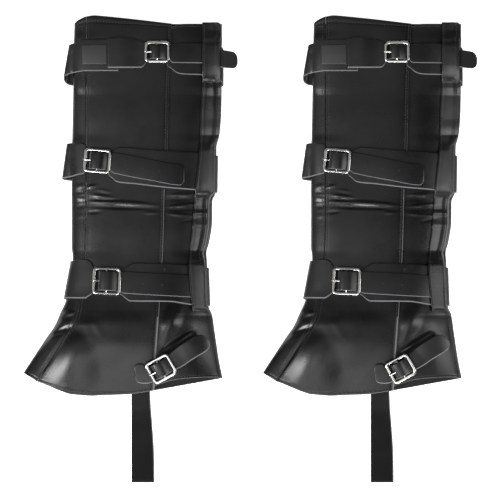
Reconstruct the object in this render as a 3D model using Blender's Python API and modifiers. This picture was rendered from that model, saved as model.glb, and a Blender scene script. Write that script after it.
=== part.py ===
"""A pair of strapped boot covers of synthetic leather, laid flat on their inner sides.

Each cover is a flattened tube: a front strip in three lengths folded round the front edge, a front
panel lapped over a rear panel on the outer side, and one inner panel on the surface below. A back
strap is stitched down the rear edge and bridges three belts, each a strap that goes round the leg
through a centre-bar buckle. A fourth, smaller buckle closes the instep, and a doubled stirrup strap
hangs from the hem. X runs from toe to heel, Y up the leg and Z away from the surface. Sizes are in
millimetres and scaled to metres as the meshes are made.
"""

import math
from collections import namedtuple

import bmesh
import bpy
from mathutils import Matrix, Vector

MM = 0.001

# Driving sizes
PAIR_SPACING = 275.0
PANEL_T = 2.0
STRAP_T = 1.5
GAP = 0.35
SEAM_GAP = 0.3
FOLD_HEIGHT = 5.5
FLANGE = 4.0
LAP_DEPTH = 12.0
FLAP_SINK = 0.6
FLAP_STEP = 1.5
LIFT = STRAP_T + 0.5
RAMP = 8.0
FOOT_START = -78.0
FRONT_ROUND = 2.6
REAR_ROUND = 2.2
REAR_FLATTEN = 0.8

# Places of the panels' points between their guides
STRIP_SHARES = (1.0, 0.52, 0.14)
STRIP_UNDER_SHARES = (0.2, 1.0)
STRIP_TOP_BOW = 0.6
FRONT_SHARES = (0.0, 0.09, 0.22, 0.4, 0.6, 0.8, 1.0)
REAR_SHARES = (0.04, 0.2, 0.42, 0.64, 0.84, 1.0)
LAP_RAMP = 0.6
INNER_SHARES = (0.0, 0.12, 0.29, 0.6, 1.0)
BACK_STRAP_SHARES = (0.0, 0.36, 0.72, 1.0)
BACK_STRAP_INSET = 0.6
BACK_STRAP_REACH = 2.4

# Edges of the flattened tube, as (y, x) down the leg
FRONT_EDGE = (
    (259, -65.0), (181, -66.4), (68, -68.1), (2, -68.1), (-9, -66.8), (-40, -70.3), (-58, -74.3),
    (-75, -81.8), (-88, -87.6), (-102, -97.2), (-116, -106.5), (-142.1, -123.4),
)
STRIP_SEAM = (
    (267.4, -51.3), (57, -51.2), (-1, -52.4), (-61, -58.9), (-80, -62.6), (-93, -69.8),
    (-104, -77.2), (-128, -92.5), (-152.1, -107.4),
)
LAP_EDGE = (
    (259, 47.3), (176, 43.8), (122, 42.9), (68, 39.2), (0, 37.4), (-61, 33.7), (-115, 30.0),
    (-162.5, 27.4),
)
REAR_EDGE = (
    (259, 105.0), (240, 105.0), (229, 104.6), (185, 104.6), (158, 104.2), (130, 101.9),
    (118, 98.7), (66, 98.0), (55, 93.9), (31, 93.6), (8, 90.2), (-5, 87.0), (-13, 87.6),
    (-66, 89.6), (-75, 93.4), (-95, 96.5), (-130, 101.8), (-148.4, 105.6),
)
SEAM_END_Y = -146.3
STRAP_FRONT = (
    (259, 82.3), (195, 82.3), (158, 80.5), (122, 79.6), (67, 74.1), (30, 71.3), (-17, 66.8),
    (-41, 68.0), (-71, 71.4),
)

# Height of the outer side's crown down the leg, as (y, z)
CROWN = (
    (268, 18.0), (243, 19.5), (185, 19.5), (151, 24.0), (123, 21.0), (63, 21.0), (25, 24.0),
    (-10, 20.0), (-68, 20.0), (-112, 26.0), (-170, 15.0),
)

# Stretches of the leg that the belts pass under, as (upper y, lower y)
UNDER_BELTS = ((243, 185), (123, 63), (-10, -68))

# The largest creases of the outer side, as soft ridges (height over 0) and troughs: the middle, how
# far each runs either way and how wide it is either way, its height, and its slope along X
Fold = namedtuple("Fold", "x y reach width height slope")
FOLDS = (
    Fold(-32.0, 60.0, 25.0, 4.0, 1.2, -0.13),
    Fold(-8.0, 53.0, 47.0, 4.2, 1.6, -0.06),
    Fold(-8.0, 47.6, 45.0, 3.6, -0.8, -0.06),
    Fold(58.0, 62.0, 20.0, 4.0, 1.0, 0.0),
    Fold(58.0, 49.8, 20.0, 4.2, 1.3, 0.08),
    Fold(58.0, 38.6, 20.0, 4.2, 1.0, -0.07),
    Fold(-60.0, 71.5, 13.0, 4.4, 1.0, 0.05),
    Fold(-60.5, 58.0, 13.0, 4.2, 1.2, 0.0),
    Fold(-73.0, -74.0, 12.0, 5.0, 1.0, 0.0),
    Fold(-77.0, -84.0, 12.0, 4.6, 1.2, 0.2),
    Fold(-79.0, -92.5, 14.0, 5.0, -1.8, 0.2),
    Fold(-46.0, -80.0, 22.0, 8.0, -1.0, 0.1),
)
FOLD_FADE = 6.0

# Lengths of the front strip, which meet out of sight under the middle and the bottom belt
StripLength = namedtuple("StripLength", "name top low")
STRIP_LENGTHS = (
    StripLength("front_strip", 275.0, 95.0),
    StripLength("ankle_strip", 95.0, -40.0),
    StripLength("toe_strip", -40.0, -200.0),
)

# How far the hems and the top edge leave the straight line between the guides, as (share, offset)
TOP_RISE = ((0.0, 0.0), (0.11, 2.1), (0.48, 1.6), (1.0, 0.0))
HEM_SAG = (
    (0.0, 0.0), (0.09, -3.8), (0.22, -9.7), (0.29, -11.8), (0.44, -12.0), (0.56, -10.1),
    (0.77, -6.8), (1.0, 0.0),
)
REAR_HEM_RISE = ((0.0, 1.5), (0.33, 5.4), (0.73, 3.6), (1.0, 0.0))

# Rows down the leg: a height in the shaft, then shares of the way from FOOT_START to the hem
SHAFT_ROWS = (
    259, 251, 243, 185, 177, 151, 131, 123, 77, 71, 63, 60, 57, 55, 53, 48, 43, 38, 33, 25, -2, -10, -40,
    -68, -76,
)
FOOT_ROWS = (0.08, 0.16, 0.26, 0.4, 0.55, 0.7, 0.86, 1.0)
FOLD_ROWS = (77, 71, 60, 57, 53, 48, 43, 38, 33)

Row = namedtuple("Row", "y foot")
ROWS = [Row(y, 0.0) for y in SHAFT_ROWS] + [Row(FOOT_START, share) for share in FOOT_ROWS]

# Buckles: the middle of the centre bar, the turn in plan, the frame's size and the strap's width in it
Buckle = namedtuple("Buckle", "name x y turn length height strap")
BUCKLES = {
    "top": Buckle("top", 30.5, 226.4, 0.0, 29.0, 24.5, 16.0),
    "middle": Buckle("middle", -37.5, 101.4, -5.0, 31.5, 28.0, 19.5),
    "bottom": Buckle("bottom", -26.9, -36.8, -2.5, 33.0, 31.5, 22.5),
    "instep": Buckle("instep", 34.4, -136.6, 29.3, 29.8, 27.6, 17.6),
}
FRAME_BAR = 3.3
CENTRE_BAR = 2.4
FRAME_T = 2.4
FRAME_CORNER = 5.0
FRAME_RISE = 4.4
FRAME_TILT = 4.1
BAR_REACH = 13.0
BAR_FRONT = 13.4
BAR_REAR = 17.0
WINDOW_CORNER = 1.6
FRAME_SOFTEN = 0.55
PRONG_R = 0.8
TONGUE_HOLE = (-8.5, -2.4)
SLOT_END = 3.6

# Rise of a strap's middle above the panel through a buckle whose end bars are BAR_REACH from its bar
TONGUE_RISE = (
    (-11.0, 1.2), (-8.5, 3.6), (-5.5, 7.1), (-2.4, 8.85), (0.5, 8.95), (3.2, 8.85), (6.2, 6.7),
    (8.9, 4.2), (10.6, 3.15), (13.0, 2.95),
)
WRAP_RISE = (
    (5.5, 1.8), (-1.1, 1.8), (-2.5, 3.0), (-2.5, 5.8), (-1.1, 7.0), (1.0, 7.0), (3.6, 6.2),
    (6.4, 3.9), (9.0, 1.6), (10.6, 1.15), (13.0, 1.1),
)
ACROSS = (0.0, 0.42, 0.58, 1.0)
MIDDLE_CELL = 1

# Belts: edges of the strap that comes from the front (tongue) and of the one from the rear (fixed),
# as (x, y) along X, then the loops round the front and rear edges
Belt = namedtuple("Belt", "name tongue_top tongue_low fixed_top fixed_low front_loop far tail_end")
FrontLoop = namedtuple("FrontLoop", "x_top x_low y_top y_low start_top start_low")
FarStretch = namedtuple("FarStretch", "front_top front_low rear_top rear_low")
BELTS = {
    "top": Belt(
        "top",
        tongue_top=((-26, 242.2), (-12, 243.4), (-4, 242.1), (15, 238.4), (20, 234.4), (44, 234.4),
                    (52, 235.0), (80, 235.4), (105, 229.4), (117, 227.2), (123, 222.0)),
        tongue_low=((-26, 207.9), (-15, 207.9), (8, 207.2), (16, 210.6), (20, 218.4), (42, 217.4),
                    (48, 213.8), (82, 213.4), (105, 208.4), (117, 207.2), (123, 212.0)),
        fixed_top=((30, 234.4), (45, 234.6), (60, 235.6), (80, 236.4), (104, 234.0)),
        fixed_low=((30, 218.4), (42, 214.0), (48, 206.0), (58, 200.0), (81, 200.0), (104, 194.0)),
        front_loop=FrontLoop(-70.6, -76.9, 236.4, 202.0, -56.0, -56.0),
        far=FarStretch(230.0, 187.5, 227.5, 186.5),
        tail_end=123.0,
    ),
    "middle": Belt(
        "middle",
        tongue_top=((-58, 122.2), (-53, 121.6), (-48, 112.0), (-20, 110.9), (14, 105.0),
                    (46, 98.4), (58, 96.4), (61, 92.0)),
        tongue_low=((-58, 84.9), (-54, 86.5), (-49, 91.5), (-20, 87.2), (-8, 84.5), (23, 78.7),
                    (57, 73.3), (61, 78.0)),
        fixed_top=((-21, 112.9), (-11, 117.2), (10, 115.7), (52, 112.4), (80, 110.6), (98, 108.0)),
        fixed_low=((-21, 83.0), (-17, 77.3), (6, 72.0), (40, 71.0), (74, 67.0), (98, 64.6)),
        front_loop=FrontLoop(-73.0, -78.6, 121.9, 82.3, -58.0, -58.0),
        far=FarStretch(119.5, 78.4, 107.0, 64.5),
        tail_end=61.0,
    ),
    "bottom": Belt(
        "bottom",
        tongue_top=((-59, -11.0), (-51, -11.2), (-46, -14.0), (-39, -24.0), (-10, -25.3),
                    (60, -29.3), (84, -31.0)),
        tongue_low=((-65, -56.6), (-52, -56.6), (-48, -54.4), (-39, -48.5), (-10, -50.8),
                    (68, -55.4), (84, -56.4)),
        fixed_top=((-10, -24.3), (5, -15.6), (66, -18.2), (88, -21.0)),
        fixed_low=((-10, -53.0), (0, -60.0), (42, -60.5), (70, -64.2), (88, -65.4)),
        front_loop=FrontLoop(-68.7, -76.7, -13.2, -56.4, -59.0, -65.5),
        far=FarStretch(-14.5, -58.4, -21.5, -65.4),
        tail_end=84.0,
    ),
}
TAIL_BASE = 2.95
STRAP_BASE = 1.1
HALF_STRAP = STRAP_T / 2.0
REAR_TURN_START = 6.5
REAR_STEEP = 22.0
TIGHT_STEP = 5.5
BAR_STEP = 7.0
STRAP_STEP = 15.0
FAR_STEP = 52.0

# Turns of a belt round the rear edge, as (x past the edge, z, share of the way to the far side), and
# round the front edge, as (share of the way from the loop's end in, z, share of the way to the front)
REAR_TURN = (
    (-3.4, 7.45, 0.0), (-1.0, 7.05, 0.15), (1.1, 5.5, 0.45), (1.7, 3.4, 0.75), (1.3, 1.25, 0.95),
    (-1.2, HALF_STRAP, 1.0), (-9.0, HALF_STRAP, 1.0),
)
FRONT_TURN = (
    (0.62, HALF_STRAP, 0.0), (0.3, 0.8, 0.05), (0.1, 1.8, 0.2), (0.0, 4.0, 0.45), (0.0, 7.0, 0.7),
    (0.1, 9.8, 0.85), (0.38, 12.4, 0.95), (0.68, 0.0, 1.0),
)
TOP_BAND_END = -14.0
TOP_TONGUE_START = -26.0
TAIL_SAG = 0.5
TAIL_Y = 220.0

# The top belt's band: its edges, and how far its patch stays inside them
BAND_TOP = ((-66, 239.0), (-57, 240.9), (TOP_BAND_END, 241.5))
BAND_LOW = ((-66, 203.2), (-57, 204.4), (TOP_BAND_END, 204.4))
PATCH_T = 1.0
PATCH_TOP_INSET = 6.5
PATCH_LOW_INSET = 8.0

# The instep strap, along its own length from the buckle's centre bar, as (s, half width, rise)
INSTEP_TONGUE = ((-30.0, 10.4, 1.1), (-22.0, 10.4, 1.1), (-14.0, 9.4, 1.1))
INSTEP_TAIL = (
    (16.0, 9.6, 2.95), (24.0, 10.6, 3.4), (36.0, 10.8, 5.2), (48.0, 10.8, 7.4), (57.0, 10.8, 9.0),
    (61.0, 9.2, 9.6), (63.0, 6.0, 9.9),
)
INSTEP_TAB_END = ((20.0, 9.0, 1.1), (34.0, 9.0, 1.1))

# The back strap's rise over the rear panel down the leg, as (y, rise)
STRAP_RISE = (
    (259, 1.15), (247, 1.15), (240, 5.4), (222, 5.4), (196, 5.2), (189, 1.2), (177, 1.15),
    (151, 1.2), (131, 1.15), (122, 1.3), (114, 3.1), (66, 3.1), (59, 1.2), (54, 1.7), (46, 1.15),
    (41, 2.0), (36, 1.15), (27, 1.7), (22, 1.15), (-10, 1.2),
    (-18, 5.0), (-40, 5.0), (-66, 5.0), (-71, 3.4),
)

# The stirrup: its edges down the leg, as (y, x)
STIRRUP_FRONT = ((-150, 0.7), (-268, 0.8))
STIRRUP_REAR = ((-150, 22.0), (-166, 22.4), (-192, 23.8), (-220, 26.4), (-268, 27.4))
STIRRUP_X = 12.0
STIRRUP_END = -268.6

LEATHER = (0.020, 0.020, 0.021)
STRAP_LEATHER = (0.026, 0.026, 0.027)
STEEL = (0.62, 0.62, 0.63)


def clear_scene():
    """Removes whatever the scene holds."""
    for obj in list(bpy.data.objects):
        bpy.data.objects.remove(obj, do_unlink=True)


def make_material(name, color, roughness, metallic):
    """One Principled material."""
    material = bpy.data.materials.new(name)
    material.use_nodes = True
    shader = material.node_tree.nodes["Principled BSDF"]
    shader.inputs["Base Color"].default_value = (*color, 1.0)
    shader.inputs["Roughness"].default_value = roughness
    shader.inputs["Metallic"].default_value = metallic
    return material


def between(table, value):
    """Straight interpolation in (key, number) pairs, whose keys may fall or rise; the ends extend."""
    pairs = sorted(table)
    last = len(pairs) - 1
    index = 0
    while index < last - 1 and value > pairs[index + 1][0]:
        index += 1
    low, high = pairs[index], pairs[index + 1]
    return low[1] + (high[1] - low[1]) * (value - low[0]) / (high[0] - low[0])


def eased(table, value):
    """Interpolation in (key, number) pairs that levels out at each pair and past the ends."""
    pairs = sorted(table)
    if value <= pairs[0][0]:
        return pairs[0][1]
    if value >= pairs[-1][0]:
        return pairs[-1][1]
    index = 0
    while value > pairs[index + 1][0]:
        index += 1
    low, high = pairs[index], pairs[index + 1]
    share = (value - low[0]) / (high[0] - low[0])
    return low[1] + (high[1] - low[1]) * share * share * (3.0 - 2.0 * share)


def lift(y):
    """How far the cover's underside stands above the surface to clear a belt."""
    most = 0.0
    for top, low in UNDER_BELTS:
        outside = max(y - top, low - y, 0.0)
        most = max(most, LIFT * (1.0 - min(outside / RAMP, 1.0)))
    return most


def seam_x(y):
    """The outer side's rear edge, where it is stitched to the inner panel's flange."""
    return between(REAR_EDGE, y) - FLANGE


def bump(value):
    """A soft rise from 0 at -1 and 1 to 1 at 0."""
    return (1.0 - value * value) ** 2 if abs(value) < 1.0 else 0.0


def folds(x, y):
    """How far the creases lift the outer side."""
    total = 0.0
    for fold in FOLDS:
        line = fold.y + fold.slope * (x - fold.x)
        total += fold.height * bump((x - fold.x) / fold.reach) * bump((y - line) / fold.width)
    return total


def outer_z(x, y):
    """Height of the outer side's face above the surface."""
    front = between(FRONT_EDGE, y)
    rear = seam_x(y)
    slope = (between(FRONT_EDGE, y - 1.0) - front) / -1.0
    half = (rear - front) / 2.0
    crown = eased(CROWN, y)
    fold = FOLD_HEIGHT + lift(y)
    seam = 2.0 * PANEL_T + GAP + lift(y)
    from_front = min(max((x - front) / math.hypot(1.0, slope) / half, 0.0), 1.0)
    from_rear = min(max((rear - x) / half, 0.0), 1.0)
    front_z = fold + (crown - fold) * math.sqrt(1.0 - (1.0 - from_front) ** FRONT_ROUND)
    rear_z = seam + (crown - seam) * (1.0 - (1.0 - from_rear) ** REAR_ROUND) ** REAR_FLATTEN
    fade = min(max(x - front, 0.0) / FOLD_FADE, 1.0)
    return min(front_z, rear_z) + fade * folds(x, y)


def outer_normal(x, y):
    """Unit normal of the outer side's face."""
    step = 1.0
    dx = (outer_z(x + step, y) - outer_z(x - step, y)) / (2.0 * step)
    dy = (outer_z(x, y + step) - outer_z(x, y - step)) / (2.0 * step)
    return Vector((-dx, -dy, 1.0)).normalized()


def on_outer(x, y, rise):
    """A point `rise` above the outer side's face."""
    return Vector((x, y, outer_z(x, y))) + rise * outer_normal(x, y)


def guide_point(guide, row, end_y=None):
    """The (x, y) of a guide on a row: by height in the shaft, by share of its length in the foot."""
    if not row.foot:
        return between(guide, row.y), row.y
    last = guide[-1][0] if end_y is None else end_y
    knots = [FOOT_START] + [y for y, _ in guide if last < y < FOOT_START] + [last]
    points = [Vector((between(guide, y), y)) for y in knots]
    lengths = [(b - a).length for a, b in zip(points, points[1:])]
    target = row.foot * sum(lengths)
    for start, end, length in zip(points, points[1:], lengths):
        if target <= length + 1e-6:
            found = start.lerp(end, target / length)
            return found.x, found.y
        target -= length
    return points[-1].x, points[-1].y


def row_span(left, right, share, row, top_shape=None, hem_shape=None):
    """The (x, y) at a share of the way between two guides' points on a row."""
    x = left[0] + (right[0] - left[0]) * share
    y = left[1] + (right[1] - left[1]) * share
    if row is ROWS[0] and top_shape:
        y += between(top_shape, share)
    if row.foot and hem_shape:
        y += between(hem_shape, share) * row.foot ** 2
    return x, y


def add_mesh_object(name, mesh_builder, material, collection):
    """Makes a mesh object from a filled bmesh, with its faces pointing out."""
    bmesh.ops.recalc_face_normals(mesh_builder, faces=mesh_builder.faces)
    mesh = bpy.data.meshes.new(name)
    mesh_builder.to_mesh(mesh)
    mesh_builder.free()
    mesh.materials.append(material)
    mesh.shade_smooth()
    mesh.set_sharp_from_angle(angle=math.radians(40.0))
    obj = bpy.data.objects.new(name, mesh)
    collection.objects.link(obj)
    return obj


def loft_sheet(name, face, back, material, collection, holes=()):
    """A closed sheet between two grids of points, lofted along its rows, with walls round its rim.

    `holes` names cells, as (row, column), that are left open and walled.
    """
    rows, columns = len(face), len(face[0])
    builder = bmesh.new()
    sides = [[[builder.verts.new(p * MM) for p in line] for line in grid] for grid in (face, back)]
    cells = {(i, j) for i in range(rows - 1) for j in range(columns - 1)} - set(holes)
    for i, j in sorted(cells):
        corners = ((i, j), (i, j + 1), (i + 1, j + 1), (i + 1, j))
        builder.faces.new([sides[0][a][b] for a, b in corners])
        builder.faces.new([sides[1][a][b] for a, b in reversed(corners)])
        beside = ((i - 1, j), (i, j + 1), (i + 1, j), (i, j - 1))
        for start, end, other in zip(corners, corners[1:] + corners[:1], beside):
            if other not in cells:
                (a, b), (c, d) = start, end
                builder.faces.new((sides[0][c][d], sides[0][a][b], sides[1][a][b], sides[1][c][d]))
    loose = [vert for vert in builder.verts if not vert.link_faces]
    bmesh.ops.delete(builder, geom=loose, context="VERTS")
    return add_mesh_object(name, builder, material, collection)


def grid_normals(grid):
    """Unit normals of a grid of points, from the lines through each point's neighbours."""
    rows, columns = len(grid), len(grid[0])
    normals = []
    for i in range(rows):
        line = []
        for j in range(columns):
            along = grid[min(i + 1, rows - 1)][j] - grid[max(i - 1, 0)][j]
            across = grid[i][min(j + 1, columns - 1)] - grid[i][max(j - 1, 0)]
            line.append(along.cross(across).normalized())
        normals.append(line)
    return normals


def offset_grid(grid, normals, distance):
    """A grid of points moved along its normals."""
    return [[p + distance * n for p, n in zip(*pair)] for pair in zip(grid, normals)]


def strap_solid(name, middle, material, collection, holes=(), thickness=STRAP_T):
    """A strap of even thickness about a grid of points on its middle."""
    normals = grid_normals(middle)
    face = offset_grid(middle, normals, thickness / 2.0)
    back = offset_grid(middle, normals, -thickness / 2.0)
    return loft_sheet(name, face, back, material, collection, holes)


def edge_strip(name, rows, material, collection):
    """A band folded round the front edge, from the front panel's seam to the inner panel's."""
    face, back = [], []
    for row in rows:
        edge = guide_point(FRONT_EDGE, row)
        seam = guide_point(STRIP_SEAM, row)
        if row is ROWS[0]:
            seam = (seam[0], STRIP_SEAM[0][0])
        seam = (seam[0] - SEAM_GAP / 2.0, seam[1])
        outside, inside = [], []
        for share in STRIP_SHARES:
            bow = share ** STRIP_TOP_BOW if row is ROWS[0] else share
            x = edge[0] + (seam[0] - edge[0]) * share
            y = edge[1] + (seam[1] - edge[1]) * bow
            outside.append(Vector((x, y, outer_z(x, y))))
            inside.append(on_outer(x, y, -PANEL_T))
        rise = 0.0 if row is ROWS[0] else seam[1] - edge[1]
        run = Vector((seam[0] - edge[0], rise, 0.0))
        base = Vector((edge[0], edge[1], lift(edge[1])))
        fold = Vector((0, 0, FOLD_HEIGHT))
        inward = run.normalized()
        outside.append(base + fold)
        inside.append(base + fold * 0.98 + inward * PANEL_T)
        outside.append(base + run * 0.04 + fold * 0.36)
        inside.append(base + run * 0.04 + fold * 0.36 + inward * PANEL_T * 0.85 + Vector((0, 0, 0.9)))
        for share in STRIP_UNDER_SHARES:
            point = base + run * share
            point.z = lift(point.y)
            outside.append(point)
            inside.append(point + Vector((0, 0, PANEL_T)))
        face.append(outside)
        back.append(inside)
    return loft_sheet(name, face, back, material, collection)


def front_strip(material, collection):
    """The front strip down the leg, in lengths with a narrow gap where they meet."""
    for length in STRIP_LENGTHS:
        rows = [row for row in ROWS if length.low < row.y < length.top]
        if length.top < ROWS[0].y:
            rows.insert(0, Row(length.top - SEAM_GAP / 2.0, 0.0))
        if length.low > FOOT_START:
            rows.append(Row(length.low + SEAM_GAP / 2.0, 0.0))
        edge_strip(length.name, rows, material, collection)


def front_panel(material, collection):
    """The vamp and shaft panel between the strip's seam and its own lapped rear edge."""
    face, back = [], []
    for row in ROWS:
        seam = guide_point(STRIP_SEAM, row)
        if row is ROWS[0]:
            seam = (seam[0], STRIP_SEAM[0][0])
        seam = (seam[0] + SEAM_GAP / 2.0, seam[1])
        lap = guide_point(LAP_EDGE, row)
        spots = [row_span(seam, lap, s, row, TOP_RISE, HEM_SAG) for s in FRONT_SHARES]
        face.append([Vector((x, y, outer_z(x, y))) for x, y in spots])
        back.append([on_outer(x, y, -PANEL_T) for x, y in spots])
    return loft_sheet("front_panel", face, back, material, collection)


def rear_panel(material, collection):
    """The panel from under the front panel's edge to the rear seam."""
    drop = PANEL_T + GAP
    face, back = [], []
    for row in ROWS:
        lap = guide_point(LAP_EDGE, row)
        rear_x, rear_y = guide_point(REAR_EDGE, row, SEAM_END_Y)
        seam = (rear_x - FLANGE, rear_y)
        flap_y = lap[1] + (FLAP_STEP if row.foot else 0.0)
        spots = [(lap[0] - LAP_DEPTH, flap_y, drop + FLAP_SINK)]
        for share in REAR_SHARES:
            x, y = row_span(lap, seam, share, row, None, REAR_HEM_RISE)
            spots.append((x, y, drop * max(0.0, 1.0 - (share - REAR_SHARES[0]) / LAP_RAMP)))
        face.append([on_outer(x, y, -sunk) for x, y, sunk in spots])
        back.append([on_outer(x, y, -sunk - PANEL_T) for x, y, sunk in spots])
    return loft_sheet("rear_panel", face, back, material, collection)


def inner_panel(material, collection):
    """The inner side, flat on the surface but for its humps over the belts."""
    below, above = [], []
    for row in ROWS:
        if not row.foot and row.y in FOLD_ROWS:
            continue
        seam = guide_point(STRIP_SEAM, row)
        seam = (seam[0] + SEAM_GAP / 2.0, seam[1])
        lap = guide_point(LAP_EDGE, row)
        rear = guide_point(REAR_EDGE, row)
        spots = [row_span(seam, lap, s, row, None, HEM_SAG) for s in INNER_SHARES] + [rear]
        below.append([Vector((x, y, lift(y))) for x, y in spots])
        above.append([Vector((x, y, lift(y) + PANEL_T)) for x, y in spots])
    return loft_sheet("inner_panel", above, below, material, collection)


def back_strap(material, collection):
    """The strap stitched down the rear edge, standing over the belts as their loops."""
    middle = []
    for y, rise in STRAP_RISE:
        left = between(STRAP_FRONT, y)
        right = seam_x(y) - BACK_STRAP_INSET
        if rise > TAIL_BASE + STRAP_T:
            right += BACK_STRAP_REACH
        middle.append([on_outer(left + (right - left) * s, y, rise) for s in BACK_STRAP_SHARES])
    return strap_solid("back_strap", middle, material, collection)


def edge_station(top_x, top_y, low_x, low_y, z):
    """Points across a strap off the panel, at a height above the surface."""
    return [Vector((top_x + (low_x - top_x) * s, top_y + (low_y - top_y) * s, z)) for s in ACROSS]


def clear_of_outer(point):
    """The point itself, or the nearest place above it that keeps a strap clear of the outer side."""
    if point.x < between(FRONT_EDGE, point.y):
        return point
    resting = on_outer(point.x, point.y, STRAP_BASE)
    return resting if resting.z > point.z else point


def buckle_station(buckle, s, half, rise):
    """Points across a strap at s along a buckle's own axis."""
    turn = math.radians(buckle.turn)
    x = buckle.x + s * math.cos(turn)
    y = buckle.y + s * math.sin(turn)
    side = Vector((-math.sin(turn), math.cos(turn)))
    points = []
    for share in ACROSS:
        reach = half * (1.0 - 2.0 * share)
        points.append(on_outer(x + side.x * reach, y + side.y * reach, rise))
    return points


def reach_scale(buckle):
    """How a buckle's own reach compares with the one that the rise tables are written for."""
    return (buckle.length - FRAME_BAR) / 2.0 / BAR_REACH


def tongue_through(buckle):
    """Stations of the strap that passes under, over and under the buckle's bars."""
    scale = reach_scale(buckle)
    half = buckle.strap / 2.0
    return [buckle_station(buckle, s * scale, half, rise) for s, rise in TONGUE_RISE]


def wrap_round(buckle):
    """Stations of the strap whose end is folded round the buckle's centre bar."""
    scale = reach_scale(buckle)
    half = buckle.strap / 2.0
    stations = []
    for s, rise in WRAP_RISE:
        reach = s * scale if s > SLOT_END else s
        stations.append(buckle_station(buckle, reach, half, rise))
    return stations


def spaced(start, end, most):
    """Values strictly between start and end, no farther apart than `most`."""
    count = max(1, math.ceil(abs(end - start) / most))
    return [start + (end - start) * k / count for k in range(1, count)]


def along_outer(top, low, start, end, rise, most=STRAP_STEP):
    """Stations of a strap across the outer side between two x, its edges read from two tables."""
    stations = []
    for x in [start, *spaced(start, end, most), end]:
        y_top, y_low = between(top, x), between(low, x)
        stations.append([on_outer(x, y_top + (y_low - y_top) * s, rise) for s in ACROSS])
    return stations


def rear_turn(belt):
    """Stations of a belt round the rear edge, from the outer side down to the surface."""
    far = belt.far
    top, low = belt.fixed_top[-1][1], belt.fixed_low[-1][1]
    stations = []
    for reach, z, share in REAR_TURN:
        y_top = top + (far.rear_top - top) * share
        y_low = low + (far.rear_low - low) * share
        top_x, low_x = between(REAR_EDGE, y_top), between(REAR_EDGE, y_low)
        stations.append(edge_station(top_x + reach, y_top, low_x + reach, y_low, z))
    return stations


def far_stretch(belt):
    """Stations of a belt under the cover, from the rear edge to the front edge."""
    far = belt.far
    rear = between(REAR_EDGE, (far.rear_top + far.rear_low) / 2.0) + REAR_TURN[-1][0]
    front = belt.front_loop.start_top
    stations = []
    for x in spaced(rear, front, FAR_STEP):
        share = (x - rear) / (front - rear)
        top = far.rear_top + (far.front_top - far.rear_top) * share
        low = far.rear_low + (far.front_low - far.rear_low) * share
        stations.append(edge_station(x, top, x, low, HALF_STRAP))
    return stations


def front_turn(belt):
    """Stations of a belt's loop round the front edge, from the surface up to the outer side."""
    loop, far = belt.front_loop, belt.far
    stations = []
    for share, z, turn in FRONT_TURN:
        top_x = loop.x_top + (loop.start_top - loop.x_top) * share
        low_x = loop.x_low + (loop.start_low - loop.x_low) * share
        y_top = far.front_top + (loop.y_top - far.front_top) * turn
        y_low = far.front_low + (loop.y_low - far.front_low) * turn
        points = edge_station(top_x, y_top, low_x, y_low, z)
        stations.append([clear_of_outer(point) for point in points] if turn > 0.5 else points)
    return stations


def skew_station(upper, lower, top_x, low_x):
    """Points across a strap whose two edges are at unlike x."""
    top, low = Vector((top_x, between(upper, top_x))), Vector((low_x, between(lower, low_x)))
    return [on_outer(*top.lerp(low, share), STRAP_BASE) for share in ACROSS]


def hole_cells(stations_before):
    """Cells of the tongue's middle column that its prong hole leaves open."""
    low, high = TONGUE_HOLE
    starts = [i for i, (s, _) in enumerate(TONGUE_RISE) if low - 0.1 <= s < high - 0.1]
    return [(stations_before + i, MIDDLE_CELL) for i in starts]


def slot_cells():
    """Cells of the folded end's middle column that its prong slot leaves open."""
    ends = [s for s, _ in WRAP_RISE[1:]]
    return [(i, MIDDLE_CELL) for i, s in enumerate(ends) if s <= SLOT_END]


def fixed_run(belt, buckle):
    """Stations from the folded end at the buckle to the rear edge."""
    start = buckle.x + BAR_REAR * reach_scale(buckle)
    rear_y = (belt.fixed_top[-1][1] + belt.fixed_low[-1][1]) / 2.0
    end = between(REAR_EDGE, rear_y) - REAR_TURN_START
    steep = end - REAR_STEEP
    stations = wrap_round(buckle)
    stations += along_outer(belt.fixed_top, belt.fixed_low, start, steep, STRAP_BASE)
    stations += along_outer(belt.fixed_top, belt.fixed_low, steep, end, STRAP_BASE, TIGHT_STEP)[1:]
    return stations


def belt_strap(belt, material, collection):
    """A belt in one strap: round the bar, the rear edge, the far side, the front and the buckle."""
    buckle = BUCKLES[belt.name]
    stations = fixed_run(belt, buckle) + rear_turn(belt) + far_stretch(belt) + front_turn(belt)
    scale = reach_scale(buckle)
    upper, lower = belt.tongue_top, belt.tongue_low
    front, bar = belt.front_loop, buckle.x - BAR_FRONT * scale
    stations.append(skew_station(upper, lower, front.start_top, front.start_low))
    stations += along_outer(upper, lower, front.start_top + 4.0, bar, STRAP_BASE, BAR_STEP)
    before = len(stations)
    stations += tongue_through(buckle)
    tail, tip = buckle.x + BAR_REAR * scale, belt.tail_end - 4.0
    stations += along_outer(upper, lower, tail, tip, TAIL_BASE)
    stations += along_outer(upper, lower, tip + 2.0, belt.tail_end, TAIL_BASE)
    holes = slot_cells() + hole_cells(before)
    return strap_solid(f"{belt.name}_belt", stations, material, collection, holes)


def top_belt(material, collection):
    """The top belt's band, from its folded end round the leg to under the tongue."""
    belt = BELTS["top"]
    stations = fixed_run(belt, BUCKLES["top"]) + rear_turn(belt) + far_stretch(belt)
    stations += front_turn(belt)
    stations += along_outer(BAND_TOP, BAND_LOW, belt.front_loop.start_top, TOP_BAND_END, STRAP_BASE)
    return strap_solid("top_belt", stations, material, collection, slot_cells())


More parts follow.
